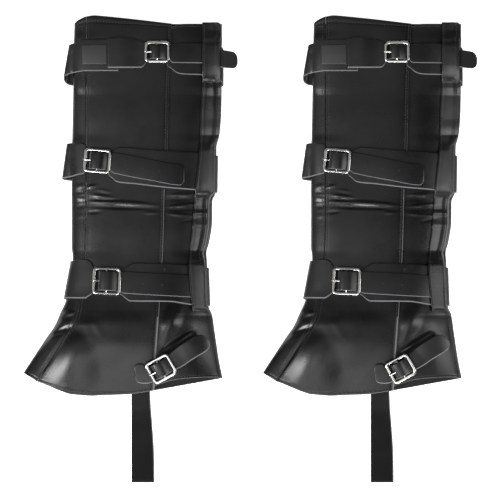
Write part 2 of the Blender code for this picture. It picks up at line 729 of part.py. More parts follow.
def top_tongue(material, collection):
    """The top belt's tongue, lapped over the band's end, with its tail past the rear edge."""
    belt, buckle = BELTS["top"], BUCKLES["top"]
    scale = reach_scale(buckle)
    upper, lower = belt.tongue_top, belt.tongue_low
    stations = along_outer(upper, lower, TOP_TONGUE_START, TOP_BAND_END + 1.0, TAIL_BASE)
    bar = buckle.x - BAR_FRONT * scale
    stations += along_outer(upper, lower, TOP_BAND_END + 8.0, bar, STRAP_BASE)
    before = len(stations)
    stations += tongue_through(buckle)
    tail = buckle.x + BAR_REAR * scale
    edge = seam_x(TAIL_Y) - 0.5
    steep = edge - REAR_STEEP
    stations += along_outer(upper, lower, tail, steep, TAIL_BASE)
    stations += along_outer(upper, lower, steep, edge, TAIL_BASE, TIGHT_STEP)[1:]
    level = outer_z(edge, TAIL_Y) + TAIL_BASE
    for x in (edge + 6.0, belt.tail_end - 6.0, belt.tail_end - 1.8, belt.tail_end):
        z = level - TAIL_SAG * (x - edge) / (belt.tail_end - edge)
        stations.append(edge_station(x, between(upper, x), x, between(lower, x), z))
    holes = hole_cells(before)
    return strap_solid("top_tongue", stations, material, collection, holes)


def top_patch(material, collection):
    """The thin patch on the top belt's band, raised from the band's own middle."""
    upper = [(x, y - PATCH_TOP_INSET) for x, y in BAND_TOP]
    lower = [(x, y + PATCH_LOW_INSET) for x, y in BAND_LOW]
    start = BELTS["top"].front_loop.start_top + 1.0
    rise = STRAP_BASE + HALF_STRAP + SEAM_GAP + PATCH_T / 2.0
    stations = along_outer(upper, lower, start, TOP_TONGUE_START - 1.0, rise)
    return strap_solid("top_patch", stations, material, collection, (), PATCH_T)


def instep_strap(material, collection):
    """The instep strap: sewn to the front panel, through the buckle, its tail lifted."""
    buckle = BUCKLES["instep"]
    stations = [buckle_station(buckle, s, half, rise) for s, half, rise in INSTEP_TONGUE]
    before = len(stations)
    stations += tongue_through(buckle)
    stations += [buckle_station(buckle, s, half, rise) for s, half, rise in INSTEP_TAIL]
    holes = hole_cells(before)
    return strap_solid("instep_strap", stations, material, collection, holes)


def instep_tab(material, collection):
    """The tab that holds the instep buckle, sewn to the rear panel under the strap's tail."""
    buckle = BUCKLES["instep"]
    stations = wrap_round(buckle)
    stations += [buckle_station(buckle, s, half, rise) for s, half, rise in INSTEP_TAB_END]
    return strap_solid("instep_tab", stations, material, collection, slot_cells())


def stirrup(material, collection):
    """The doubled strap below the hem, its plies sewn inside the outer and the inner side."""
    hem_z = outer_z(STIRRUP_X, -166.0) - 2.0 * (PANEL_T + GAP) - STRAP_T - 0.5
    far_z = HALF_STRAP
    near_z = far_z + STRAP_T + 0.5
    inner_z = PANEL_T + GAP + HALF_STRAP
    rise = outer_z(STIRRUP_X, -150.0) - outer_z(STIRRUP_X, -166.0)
    fold = (near_z - far_z) / 2.0
    turn_y = STIRRUP_END + HALF_STRAP + fold
    stations = [(-150.0, hem_z + rise), (-158.0, hem_z + rise * 0.5), (-166.0, hem_z)]
    stations += [(-176.0, hem_z * 0.55 + near_z * 0.45), (-188.0, near_z + 0.6), (-202.0, near_z)]
    stations += [(-235.0, near_z), (turn_y + 0.6, near_z)]
    for degrees in (60.0, 20.0, -20.0, -60.0):
        angle = math.radians(degrees)
        y = turn_y - fold * math.cos(angle)
        stations.append((y, far_z + fold + fold * math.sin(angle)))
    stations += [(turn_y + 0.6, far_z), (-235.0, far_z), (-202.0, far_z), (-180.0, far_z)]
    stations += [(-171.0, inner_z), (-150.0, inner_z)]
    grid = []
    for y, z in stations:
        left, right = between(STIRRUP_FRONT, y), between(STIRRUP_REAR, y)
        grid.append([Vector((left + (right - left) * s, y, z)) for s in (0.0, 0.5, 1.0)])
    return strap_solid("stirrup", grid, material, collection)


def buckle_matrix(buckle):
    """Placement of a buckle: its centre bar over the panel, tilted up to the rear."""
    up = outer_normal(buckle.x, buckle.y)
    turn = math.radians(buckle.turn)
    forward = Vector((math.cos(turn), math.sin(turn), 0.0))
    across = up.cross(forward).normalized()
    forward = across.cross(up)
    place = on_outer(buckle.x, buckle.y, FRAME_RISE)
    turned = Matrix((forward, across, up)).transposed().to_4x4()
    tilt = Matrix.Rotation(math.radians(-FRAME_TILT), 4, "Y")
    return Matrix.Translation(place * MM) @ turned @ tilt


def rounded_block(name, size, center, corner, segments, collection):
    """A block with its upright edges rounded."""
    builder = bmesh.new()
    bmesh.ops.create_cube(builder, size=1.0)
    bmesh.ops.scale(builder, vec=Vector(size) * MM, verts=builder.verts)
    bmesh.ops.translate(builder, vec=Vector(center) * MM, verts=builder.verts)
    upright = [e for e in builder.edges if abs(e.verts[0].co.z - e.verts[1].co.z) > 1e-6]
    bmesh.ops.bevel(
        builder, geom=upright, offset=corner * MM, segments=segments, profile=0.5, affect="EDGES"
    )
    mesh = bpy.data.meshes.new(name)
    builder.to_mesh(mesh)
    builder.free()
    obj = bpy.data.objects.new(name, mesh)
    collection.objects.link(obj)
    return obj


def buckle_frame(buckle, material, collection, cutters):
    """A rounded frame with a centre bar: a block with two windows, its rims softened."""
    name = f"{buckle.name}_buckle"
    frame = rounded_block(
        name, (buckle.length, buckle.height, FRAME_T), (0, 0, 0), FRAME_CORNER, 3, collection
    )
    frame.data.materials.append(material)
    window_x = (buckle.length - CENTRE_BAR) / 2.0 - FRAME_BAR
    window_y = buckle.height - 2.0 * FRAME_BAR
    for side in (-1.0, 1.0):
        cutter = rounded_block(
            f"{name}_window_{'front' if side < 0 else 'rear'}",
            (window_x, window_y, FRAME_T * 3.0),
            (side * (CENTRE_BAR + window_x) / 2.0, 0, 0),
            WINDOW_CORNER,
            1,
            cutters,
        )
        cutter.hide_render = True
        cutter.display_type = "WIRE"
        cutter.matrix_world = buckle_matrix(buckle)
        cut = frame.modifiers.new("window", "BOOLEAN")
        cut.operation = "DIFFERENCE"
        cut.object = cutter
        cut.solver = "EXACT"
    soften = frame.modifiers.new("soften", "BEVEL")
    soften.width = FRAME_SOFTEN * MM
    soften.segments = 1
    soften.limit_method = "ANGLE"
    soften.angle_limit = math.radians(60.0)
    frame.matrix_world = buckle_matrix(buckle)
    return frame


def prong(buckle, material, collection):
    """The pin: hooked round the centre bar and lying over the front bar."""
    reach = (buckle.length - FRAME_BAR) / 2.0
    eye = FRAME_T / 2.0 + GAP + PRONG_R
    path = (
        (-1.0, -eye), (1.3, -eye), (2.5, -1.2), (2.5, 1.2), (1.3, eye), (-1.5, eye),
        (-0.55 * reach, eye), (1.0 - reach, eye + 0.15), (-1.0 - reach, eye), (-2.4 - reach, eye - 0.5),
    )
    curve = bpy.data.curves.new(f"{buckle.name}_prong", "CURVE")
    curve.dimensions = "3D"
    curve.bevel_depth = PRONG_R * MM
    curve.bevel_resolution = 1
    curve.use_fill_caps = True
    spline = curve.splines.new("POLY")
    spline.points.add(len(path) - 1)
    for point, (x, z) in zip(spline.points, path):
        point.co = (x * MM, 0.0, z * MM, 1.0)
    curve.materials.append(material)
    obj = bpy.data.objects.new(f"{buckle.name}_prong", curve)
    collection.objects.link(obj)
    obj.matrix_world = buckle_matrix(buckle)
    return obj


def build_cover(collection, cutters):
    """Makes every piece of the left cover about the cover's own middle."""
    panel = make_material("panel_leather", LEATHER, 0.5, 0.0)
    strap = make_material("strap_leather", STRAP_LEATHER, 0.5, 0.0)
    steel = make_material("nickel_steel", STEEL, 0.25, 1.0)
    for make_piece in (front_strip, front_panel, rear_panel, inner_panel):
        make_piece(panel, collection)
    for make_piece in (back_strap, top_belt, top_tongue, top_patch):
        make_piece(strap, collection)
    for name in ("middle", "bottom"):
        belt_strap(BELTS[name], strap, collection)
    for make_piece in (instep_strap, instep_tab, stirrup):
        make_piece(strap, collection)
    for buckle in BUCKLES.values():
        buckle_frame(buckle, steel, collection, cutters)
        prong(buckle, steel, collection)


def set_pair(collection, cutters):
    """Moves the left cover to its place and sets a copy of each piece at the right one's."""
    holders = {}
    for side, x in (("left", -PAIR_SPACING / 2.0), ("right", PAIR_SPACING / 2.0)):
        holders[side] = bpy.data.objects.new(f"{side}_cover", None)
        holders[side].location.x = x * MM
        collection.objects.link(holders[side])
    twins = {}
    for group in (cutters, collection):
        for piece in [obj for obj in group.objects if obj.type != "EMPTY"]:
            twin = piece.copy()
            group.objects.link(twin)
            twins[piece] = twin
            for modifier in twin.modifiers:
                if modifier.type == "BOOLEAN":
                    modifier.object = twins[modifier.object]
            twin.name = f"right_{piece.name}"
            piece.name = f"left_{piece.name}"
            twin.parent = holders["right"]
            piece.parent = holders["left"]


def main():
    """Builds the left cover, copies it to the right and sets both at their places."""
    clear_scene()
    collection = bpy.data.collections.new("boot_covers")
    cutters = bpy.data.collections.new("cutters")
    bpy.context.scene.collection.children.link(collection)
    bpy.context.scene.collection.children.link(cutters)
    build_cover(collection, cutters)
    set_pair(collection, cutters)


main()
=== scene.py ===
"""A pair of strapped boot covers of synthetic leather, laid flat side by side.

Each cover is sewn up from leather cloth and closed with three belts, an instep strap and a
stirrup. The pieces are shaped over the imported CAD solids: X runs from the toe to the heel, Y up
the leg and Z away from the surface. Sizes are in millimetres about the middle of one cover, and
are scaled to metres where a mesh is made.
"""

import logging
import math
from dataclasses import dataclass, field
from enum import Enum
from functools import lru_cache

import bpy
import numpy as np
from mathutils import Matrix, Vector
from mathutils.bvhtree import BVHTree


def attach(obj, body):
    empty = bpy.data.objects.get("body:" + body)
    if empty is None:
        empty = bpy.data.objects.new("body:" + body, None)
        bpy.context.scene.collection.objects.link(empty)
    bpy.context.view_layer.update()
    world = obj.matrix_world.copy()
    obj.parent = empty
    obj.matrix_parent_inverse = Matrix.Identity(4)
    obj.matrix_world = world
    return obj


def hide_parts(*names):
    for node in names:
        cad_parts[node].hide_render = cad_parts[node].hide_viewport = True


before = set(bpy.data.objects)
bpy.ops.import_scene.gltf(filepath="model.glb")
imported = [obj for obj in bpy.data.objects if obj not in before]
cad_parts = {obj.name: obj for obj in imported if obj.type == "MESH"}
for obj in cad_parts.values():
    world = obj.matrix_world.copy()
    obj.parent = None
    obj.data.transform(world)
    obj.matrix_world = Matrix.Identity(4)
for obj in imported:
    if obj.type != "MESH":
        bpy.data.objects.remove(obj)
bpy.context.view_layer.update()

log = logging.getLogger("boot_covers")

Array = np.ndarray
Table = tuple[tuple[float, ...], ...]

MM = 0.001
PAIR_SPACING = 275.0
TOP_Y = 259.0  # where the shaft's top edge lies up the leg
TOP_DEPTH = 8.0  # how far below the top edge its own shape fades out
ROW_STEP = 2.6  # how far apart a panel's rows lie in the shaft
CREASED_STEP = 1.2  # and where the cloth is creased
FOOT_STEPS = 61  # how many rows a panel's foot has above its rim
STATION_WEIGHTS = (0.5, 0.5, 0.5, 0.5, 1.0)  # a strap's two edges count half each in a distance
CREASE_END = 0.6  # how wide a crease is at its ends, beside its width at its middle
EDGE_RINGS = 2  # how many rings of a sheet's cells show its edge
BAND_RATIO = 3.14  # about how many bands a wave texture draws in one unit of its scale
FULL_REACH = 13.0  # the reach of the buckle that the straps' rise tables are written for


class Side(Enum):
    """The two covers, by the side of the pair that they lie on."""

    LEFT = -1.0
    RIGHT = 1.0

    @property
    def label(self) -> str:
        """The side's name as it starts a node's name."""
        return self.name.lower()

    @property
    def shift(self) -> float:
        """How far the cover's own middle lies from the pair's, in mm."""
        return self.value * PAIR_SPACING / 2.0


# ------------------------ curves and the flattened form


@lru_cache(maxsize=None)
def fitted(pairs: Table) -> tuple[Array, Array, Array]:
    """Fits slopes to (key, value) pairs so that a cubic through them never overshoots.

    Args:
        pairs: The pairs, in any order.

    Returns:
        The sorted keys, their values and the slopes there.
    """
    data = np.array(sorted(pairs), float)
    keys, values = data[:, 0], data[:, 1]
    steps = np.diff(keys)
    rates = np.diff(values) / steps
    slopes = np.concatenate((rates[:1], np.zeros(len(keys) - 2), rates[-1:]))
    for i in range(1, len(keys) - 1):
        before, after = rates[i - 1], rates[i]
        if before * after > 0.0:
            w1, w2 = 2.0 * steps[i] + steps[i - 1], steps[i] + 2.0 * steps[i - 1]
            slopes[i] = (w1 + w2) / (w1 / before + w2 / after)
    return keys, values, slopes


def smooth(pairs: Table, at: Array) -> Array:
    """Reads a smooth line through (key, value) pairs.

    Args:
        pairs: The pairs that the line goes through.
        at: Keys to read it at; past the ends it goes on straight.

    Returns:
        The values, in the shape of the keys.
    """
    keys, values, slopes = fitted(pairs)
    at = np.asarray(at, float)
    i = np.clip(np.searchsorted(keys, at, side="right") - 1, 0, len(keys) - 2)
    step = keys[i + 1] - keys[i]
    t = np.clip((at - keys[i]) / step, 0.0, 1.0)
    a, b = values[i], values[i + 1]
    inside = (
        a * (1.0 + 2.0 * t) * (1.0 - t) ** 2
        + b * (3.0 - 2.0 * t) * t**2
        + step * (slopes[i] * t * (1.0 - t) ** 2 - slopes[i + 1] * (1.0 - t) * t**2)
    )
    under, over = np.minimum(at - keys[0], 0.0), np.maximum(at - keys[-1], 0.0)
    return inside + slopes[0] * under + slopes[-1] * over


def smooth_at(pairs: Table, key: float) -> float:
    """Reads one value from a smooth line through (key, value) pairs."""
    return float(smooth(pairs, np.float64(key)))


def threaded(stations: Array, step: float) -> Array:
    """Reads a smooth line through stations of several numbers each, at even steps.

    Args:
        stations: One row for each station; the first five numbers give the distance between rows.
        step: How far apart the new rows are, in mm.

    Returns:
        The new rows, the first and the last as given.
    """
    gaps = np.linalg.norm(np.diff(stations, axis=0) * np.array(STATION_WEIGHTS), axis=1)
    run = np.concatenate(([0.0], np.cumsum(np.maximum(gaps, 0.05))))
    at = np.linspace(0.0, run[-1], max(2, int(math.ceil(run[-1] / step)) + 1))
    columns = [smooth(tuple(zip(run.tolist(), c.tolist())), at) for c in stations.T]
    return np.stack(columns, axis=1)


def bump(value: Array) -> Array:
    """A soft rise from 0 at -1 and 1 to 1 at 0."""
    return np.where(np.abs(value) < 1.0, (1.0 - np.minimum(value * value, 1.0)) ** 2, 0.0)


def eased(value: Array) -> Array:
    """A smooth step from 0 at 0 to 1 at 1."""
    t = np.clip(value, 0.0, 1.0)
    return t * t * (3.0 - 2.0 * t)


@dataclass(frozen=True)
class Crease:
    """A soft ridge, or a trough where its height is under 0, placed one by one.

    Args:
        x: The middle's place from the toe to the heel, in mm.
        y: The middle's place up the leg.
        reach: How far it runs either way from its middle.
        width: How wide it is to either side.
        height: Its height at its middle.
        turn: How far it is turned from the X axis, in degrees.
        bend: How far its ends bend aside.
    """

    x: float
    y: float
    reach: float
    width: float
    height: float
    turn: float = 0.0
    bend: float = 0.0

    def rise(self, x: Array, y: Array) -> Array:
        """How far the crease lifts the cloth.

        Args:
            x: Places from the toe to the heel, in mm.
            y: Places up the leg, in mm.

        Returns:
            The lift at each place, in mm.
        """
        angle = math.radians(self.turn)
        right, up = x - self.x, y - self.y
        along = (right * math.cos(angle) + up * math.sin(angle)) / self.reach
        aside = up * math.cos(angle) - right * math.sin(angle) - self.bend * along * along
        taper = self.width * (CREASE_END + (1.0 - CREASE_END) * bump(along))
        return self.height * bump(along) * bump(aside / taper)


# The pieces' edges down the leg, as (y, x) pairs
FRONT_EDGE: Table = (
    (259, -65.0), (181, -66.4), (68, -68.1), (2, -68.1), (-9, -66.8), (-40, -70.3), (-58, -74.3),
    (-75, -81.8), (-88, -87.6), (-102, -97.2), (-116, -106.5), (-142.1, -123.4),
)
STRIP_SEAM: Table = (
    (267.4, -51.3), (57, -51.2), (-1, -52.4), (-61, -58.9), (-80, -62.6), (-93, -69.8),
    (-104, -77.2), (-128, -92.5), (-152.1, -107.4),
)
LAP_EDGE: Table = (
    (259, 47.3), (176, 43.8), (122, 42.9), (68, 39.2), (0, 37.4), (-61, 33.7), (-115, 30.0),
    (-162.5, 27.4),
)
REAR_EDGE: Table = (
    (259, 105.0), (240, 105.0), (229, 104.6), (185, 104.6), (158, 104.2), (130, 101.9),
    (118, 98.7), (66, 98.0), (55, 93.9), (31, 93.6), (8, 90.2), (-5, 87.0), (-13, 87.6),
    (-66, 89.6), (-75, 93.4), (-95, 96.5), (-130, 101.8), (-148.4, 105.6),
)
STRAP_FRONT: Table = (
    (259, 82.3), (195, 82.3), (158, 80.5), (122, 79.6), (67, 74.1), (30, 71.3), (-17, 66.8),
    (-41, 68.0), (-71, 71.4),
)
# The outer side's height along its middle, as (y, z) pairs
CROWN: Table = (
    (268, 18.3), (243, 19.7), (185, 20.2), (151, 21.2), (123, 21.0), (63, 21.0), (25, 21.4),
    (-10, 20.4), (-40, 21.0), (-68, 22.6), (-88, 24.6), (-104, 24.2), (-140, 19.2), (-170, 14.0),
)
# Where the cover lies on a belt that goes round it, as (top y, low y) pairs
UNDER_BELTS: Table = ((243.0, 185.0), (123.0, 63.0), (-10.0, -68.0))
# Where the panels' rows lie closer together for their creases, as (low y, top y) pairs
CREASED_ROWS: Table = ((-200.0, -66.0), (26.0, 84.0), (176.0, 186.0))
# How the front strip folds round the front edge, as (way inwards, z) pairs from the outer side on
FRONT_FOLD: Table = (
    (0.0, 5.5), (0.0, 3.6), (0.05, 2.6), (0.3, 1.3), (0.9, 0.4), (1.9, 0.04), (3.2, 0.0),
)
CREASES = tuple(Crease(*sizes) for sizes in (
    # Front panel, below the middle belt
    (-32.0, 60.4, 17.0, 3.0, 0.9, -8.0),
    (-28.0, 56.7, 22.0, 2.0, -0.6, -2.0),
    (-8.0, 53.0, 50.0, 3.6, 1.2, -3.0, -1.0),
    (-8.0, 48.0, 48.0, 3.4, -0.8, -1.6, -0.6),
    (24.0, 41.8, 14.0, 2.4, 0.5, 2.0),
    (-45.0, 72.0, 9.0, 2.4, 0.7, 14.0),
    (-30.0, 67.0, 12.0, 2.6, 0.4, -10.0),
    (-42.0, 42.6, 11.0, 3.0, -0.5, 6.0),
    # Rear panel, below the middle belt
    (58.0, 62.3, 22.0, 3.0, 0.7, 1.0),
    (57.0, 57.2, 20.0, 2.4, -0.5, 2.0),
    (59.0, 50.2, 22.0, 3.0, 0.9, 6.0),
    (58.0, 45.6, 22.0, 2.2, -0.6, 1.0),
    (58.0, 39.4, 22.0, 3.2, 0.8, -5.0),
    (66.0, 33.0, 14.0, 2.4, -0.4, 9.0),
    # Front strip, below the middle belt
    (-60.0, 71.8, 13.0, 4.0, 0.4, 12.0),
    (-61.0, 64.8, 11.0, 3.2, -0.3, 4.0),
    (-60.5, 58.0, 13.0, 3.6, 0.45, -4.0),
    (-58.0, 49.2, 11.0, 4.0, -0.35, 8.0),
    (-59.0, 38.0, 12.0, 4.0, 0.2),
    # Foot, where the strip bends towards the toe
    (-72.0, -73.8, 12.0, 4.8, 1.0, 10.0),
    (-78.5, -84.6, 13.0, 4.4, 0.45, 14.0),
    (-77.5, -93.0, 15.0, 4.8, -1.6, 24.0),
    (-90.0, -103.0, 12.0, 5.4, 0.5, 30.0),
    (-48.0, -79.0, 22.0, 7.0, -0.2, 6.0),
    (-37.0, -92.0, 17.0, 6.0, 0.4, -62.0),
    (-52.0, -100.0, 20.0, 7.0, -0.3, -70.0),
    # Vamp, raised along the strip's seam
    (-85.0, -115.0, 48.0, 4.0, -1.9, 58.0),
    (-66.0, -122.0, 46.0, 15.0, 0.7, 60.0),
    (-42.0, -98.0, 62.0, 55.0, 3.2, 30.0),
    (-69.0, -133.0, 50.0, 38.0, 3.5, -63.0),
    # Hem below the toe, puckered by its stitches
    (-84.0, -154.5, 6.0, 1.6, 0.35, 62.0),
    (-79.5, -156.6, 6.0, 1.5, 0.3, 66.0),
    (-75.0, -158.6, 6.5, 1.6, 0.35, 70.0),
    (-70.0, -160.4, 6.0, 1.5, 0.3, 74.0),
    (-64.5, -162.0, 6.0, 1.6, 0.3, 78.0),
    (-58.0, -163.4, 5.0, 1.6, 0.25, 80.0),
    # Heel, drawn up to the back strap
    (48.0, -76.0, 34.0, 22.0, 1.4, -20.0),
    (46.0, -84.0, 32.0, 14.0, 2.9, 68.0),
))

# The rear panel's hollow along the instep strap's tail, which the strap itself bridges
HOLLOW = Crease(54.0, -107.2, 27.0, 6.0, -3.6, 34.0)


@dataclass(frozen=True)
class Form:
    """The flattened tube that every piece of a cover follows."""

    fold_height: float = 5.5
    flange: float = 4.0
    panel_t: float = 2.0
    gap: float = 0.35
    belt_lift: float = 2.0
    lift_ramp: float = 8.0
    front_round: float = 2.6
    rear_round: float = 2.2
    rear_flatten: float = 0.8
    fold_fade: float = 6.0
    probe: float = 0.7
    creases: tuple[Crease, ...] = (*CREASES, HOLLOW)

    def lift(self, y: Array) -> Array:
        """How far the cover's underside stands above the surface, over a belt.

        Args:
            y: Places up the leg, in mm.

        Returns:
            The lift at each place, in mm.
        """
        most = np.zeros_like(np.asarray(y, float))
        for top, low in UNDER_BELTS:
            outside = np.maximum(np.maximum(y - top, low - y), 0.0)
            most = np.maximum(most, self.belt_lift * (1.0 - np.minimum(outside / self.lift_ramp, 1.0)))
        return most

    def height(self, x: Array, y: Array) -> Array:
        """Height of the outer side's face above the surface.

        Args:
            x: Places from the toe to the heel, in mm.
            y: Places up the leg, in mm.

        Returns:
            The heights, in mm.
        """
        x, y = np.broadcast_arrays(np.asarray(x, float), np.asarray(y, float))
        front = smooth(FRONT_EDGE, y)
        rear = smooth(REAR_EDGE, y) - self.flange
        slope = front - smooth(FRONT_EDGE, y - 1.0)
        half = (rear - front) / 2.0
        crown = smooth(CROWN, y)
        lift = self.lift(y)
        fold = self.fold_height + lift
        seam = 2.0 * self.panel_t + self.gap + lift
        from_front = np.clip((x - front) / np.hypot(1.0, slope) / half, 0.0, 1.0)
        from_rear = np.clip((rear - x) / half, 0.0, 1.0)
        front_z = fold + (crown - fold) * np.sqrt(1.0 - (1.0 - from_front) ** self.front_round)
        round_z = (1.0 - (1.0 - from_rear) ** self.rear_round) ** self.rear_flatten
        rear_z = seam + (crown - seam) * round_z
        fade = np.clip((x - front) / self.fold_fade, 0.0, 1.0)
        creased = sum((crease.rise(x, y) for crease in self.creases), np.zeros_like(x))
        return np.minimum(front_z, rear_z) + fade * creased

    def normal(self, x: Array, y: Array) -> Array:
        """Normals of the outer side's face, from its height a probe's length to each side.

        Args:
            x: Places from the toe to the heel, in mm.
            y: Places up the leg, in mm.

        Returns:
            The unit normals, in an array whose last axis is X, Y and Z.
        """
        probe = self.probe
        dx = (self.height(x + probe, y) - self.height(x - probe, y)) / (2.0 * probe)
        dy = (self.height(x, y + probe) - self.height(x, y - probe)) / (2.0 * probe)
        normals = np.stack((-dx, -dy, np.ones_like(dx)), axis=-1)
        return normals / np.linalg.norm(normals, axis=-1, keepdims=True)

    def on_outer(self, x: Array, y: Array, rise: Array | float) -> Array:
        """Points at a rise above the outer side's face.

        Args:
            x: Places from the toe to the heel, in mm.
            y: Places up the leg, in mm.
            rise: How far above the face, along its normal, in mm.

        Returns:
            The points, in an array whose last axis is X, Y and Z.
        """
        x, y, rise = np.broadcast_arrays(x, y, rise)
        points = np.stack((x, y, self.height(x, y)), axis=-1)
        return points + rise[..., None] * self.normal(x, y)


# ------------------------ sheets


class Rim(Enum):
    """How a sheet's rim is finished: rows of (distance in mm, share of the thickness, sink in mm)."""

    TURNED = (
        (0.0, 0.4, 0.0), (0.3, 0.85, 0.0), (0.9, 1.05, -0.02), (2.0, 1.03, -0.02), (2.8, 1.0, 0.05),
        (3.3, 0.97, 0.16), (3.8, 1.0, 0.05), (4.6, 1.0, 0.0),
    )
    CUT = ((0.0, 0.4, 0.0), (0.25, 0.8, 0.0), (0.6, 1.0, 0.0), (1.1, 1.0, 0.0))
    STITCHED = (
        (0.0, 0.35, 0.0), (0.25, 0.8, 0.0), (0.7, 1.0, 0.0), (1.5, 1.0, 0.02), (2.1, 1.0, 0.16),
        (2.7, 1.0, 0.02),
    )
    ROLLED = (
        (0.0, 0.35, 0.0), (0.25, 0.8, 0.0), (0.7, 1.0, 0.0), (1.7, 1.0, 0.0), (2.7, 1.0, 0.0),
        (3.7, 1.0, 0.0), (4.4, 1.0, 0.1), (5.0, 0.95, 0.5), (5.6, 1.0, 0.1), (6.3, 1.0, 0.0),
    )
    SEAMED = (
        (0.0, 0.6, 0.12), (0.3, 0.9, 0.05), (0.8, 1.0, 0.0), (2.0, 1.02, -0.03), (2.7, 1.0, 0.03),
        (3.2, 1.0, 0.12), (3.7, 1.0, 0.03), (4.4, 1.0, 0.0),
    )
    FLANGED = (
        (0.0, 0.45, 0.9), (0.3, 0.85, 0.75), (0.9, 1.0, 0.45), (2.0, 1.0, -0.05), (3.1, 1.0, -0.45),
        (3.9, 1.0, 0.1), (4.6, 1.0, 0.05), (5.6, 1.0, 0.0),
    )

    @property
    def distance(self) -> Array:
        """How far each row lies from the edge, in mm."""
        return np.array(self.value)[:, 0]

    @property
    def thickness(self) -> Array:
        """Each row's share of the full thickness."""
        return np.array(self.value)[:, 1]

    @property
    def sink(self) -> Array:
        """How far each row sinks below the sheet's face, in mm."""
        return np.array(self.value)[:, 2]

    @property
    def stitch_row(self) -> int:
        """The row that stitches lie on, drawn in by them."""
        return {Rim.STITCHED: 4, Rim.ROLLED: 7}.get(self, 5)


@dataclass(frozen=True)
class Spread:
    """Places across or along a sheet, closer together at its rims.

    Args:
        distance: The share of the way for each place, one row for each row of the sheet.
        thickness: The share of the full thickness at each place.
        sink: How far the sheet sinks at each place, in mm.
    """

    distance: Array
    thickness: Array
    sink: Array

    @staticmethod
    def over(length: Array | float, count: int, first: Rim, last: Rim) -> "Spread":
        """Spreads places over a length, or over one length for each row.

        Args:
            length: How long the way is, in mm.
            count: How many steps lie between the two rims.
            first: The rim at the start.
            last: The rim at the end.

        Returns:
            The places as shares of the length.
        """
        span = np.atleast_1d(np.asarray(length, float))[:, None]
        near, far = first.distance, last.distance[::-1]
        inner = np.linspace(0.0, 1.0, count + 1)[None, 1:-1]
        start, end = near[-1], span - far[0]
        middle = start + (end - start) * inner
        ones = np.ones_like(span)
        distance = np.hstack((near * ones, middle, span - far * ones))
        rest = np.zeros(inner.shape[1])
        thickness = np.concatenate((first.thickness, rest + 1.0, last.thickness[::-1]))
        sink = np.concatenate((first.sink, rest, last.sink[::-1]))
        return Spread(distance / span, thickness, sink)


def grid_normals(grid: Array) -> Array:
    """Normals of a grid of points, from the lines through each point's neighbours.

    Args:
        grid: The points, in an array whose last axis is X, Y and Z.

    Returns:
        The unit normals, in the shape of the points.
    """
    along = np.gradient(grid, axis=0)
    across = np.gradient(grid, axis=1)
    normals = np.cross(along, across)
    return normals / np.maximum(np.linalg.norm(normals, axis=-1, keepdims=True), 1e-9)


class Layer(Enum):
    """Which material of a sheet a face takes."""

    FACE = 0
    BACK = 1
    EDGE = 2
    PALE = 3


def rim_cells(rows: int, columns: int) -> Array:
    """Which layer each cell of a grid shows: the edge on the rim's rings, and else the face.

    Args:
        rows: How many rows of points the grid has.
        columns: How many columns of points it has.

    Returns:
        The layers' numbers, one for each cell between the points.
    """
    i, j = np.meshgrid(np.arange(rows - 1), np.arange(columns - 1), indexing="ij")
    inset = np.minimum(np.minimum(i, rows - 2 - i), np.minimum(j, columns - 2 - j))
    return np.where(inset < EDGE_RINGS, Layer.EDGE.value, Layer.FACE.value)


def sheet_mesh(name: str, face: Array, back: Array,
               cells: Array | None = None) -> bpy.types.Mesh:
    """Closes two grids of points into a sheet with a rounded rim.

    Args:
        name: The mesh's name.
        face: The grid of points on the sheet's good side, in mm.
        back: The grid on its other side.
        cells: Which layer each cell shows, if not the edge's on the rim alone.

    Returns:
        The mesh, in metres, with its faces outward.
    """
    rows, columns = face.shape[:2]
    points = np.concatenate((face.reshape(-1, 3), back.reshape(-1, 3))) * MM
    index = np.arange(rows * columns).reshape(rows, columns)
    quads = np.stack((index[:-1, :-1], index[:-1, 1:], index[1:, 1:], index[1:, :-1]), axis=-1)
    under = quads[..., ::-1] + rows * columns
    ring = np.concatenate((index[0, :-1], index[:-1, -1], index[-1, :0:-1], index[:0:-1, 0]))
    after = np.roll(ring, -1)
    wall = np.stack((after, ring, ring + rows * columns, after + rows * columns), axis=-1)
    cells = rim_cells(rows, columns) if cells is None else cells
    border = (cells[0], cells[:, -1], cells[-1, ::-1], cells[::-1, 0])
    under_cells = np.where(cells == Layer.FACE.value, Layer.BACK.value, cells)
    layers = np.concatenate((cells.reshape(-1), under_cells.reshape(-1), *border))
    faces = np.concatenate((quads.reshape(-1, 4), under.reshape(-1, 4), wall))
    corners = points[faces]
    spokes = np.cross(corners[:, 1] - corners[:, 0], corners[:, 2] - corners[:, 0])
    spokes += np.cross(corners[:, 2] - corners[:, 0], corners[:, 3] - corners[:, 0])
    if np.sum(spokes * corners.mean(axis=1)) < 0.0:
        faces = faces[:, ::-1]
    mesh = bpy.data.meshes.new(name)
    mesh.from_pydata(points.tolist(), [], faces.tolist())
    mesh.polygons.foreach_set("material_index", layers.astype(np.int32))
    mesh.shade_smooth()
    return mesh


# ------------------------ finishes


def linear(code: str) -> tuple[float, float, float, float]:
    """Turns an sRGB hex colour into linear red, green, blue and a full alpha."""
    parts = [int(code[i:i + 2], 16) / 255.0 for i in (1, 3, 5)]
    return (*[p / 12.92 if p <= 0.04045 else ((p + 0.055) / 1.055) ** 2.4 for p in parts], 1.0)


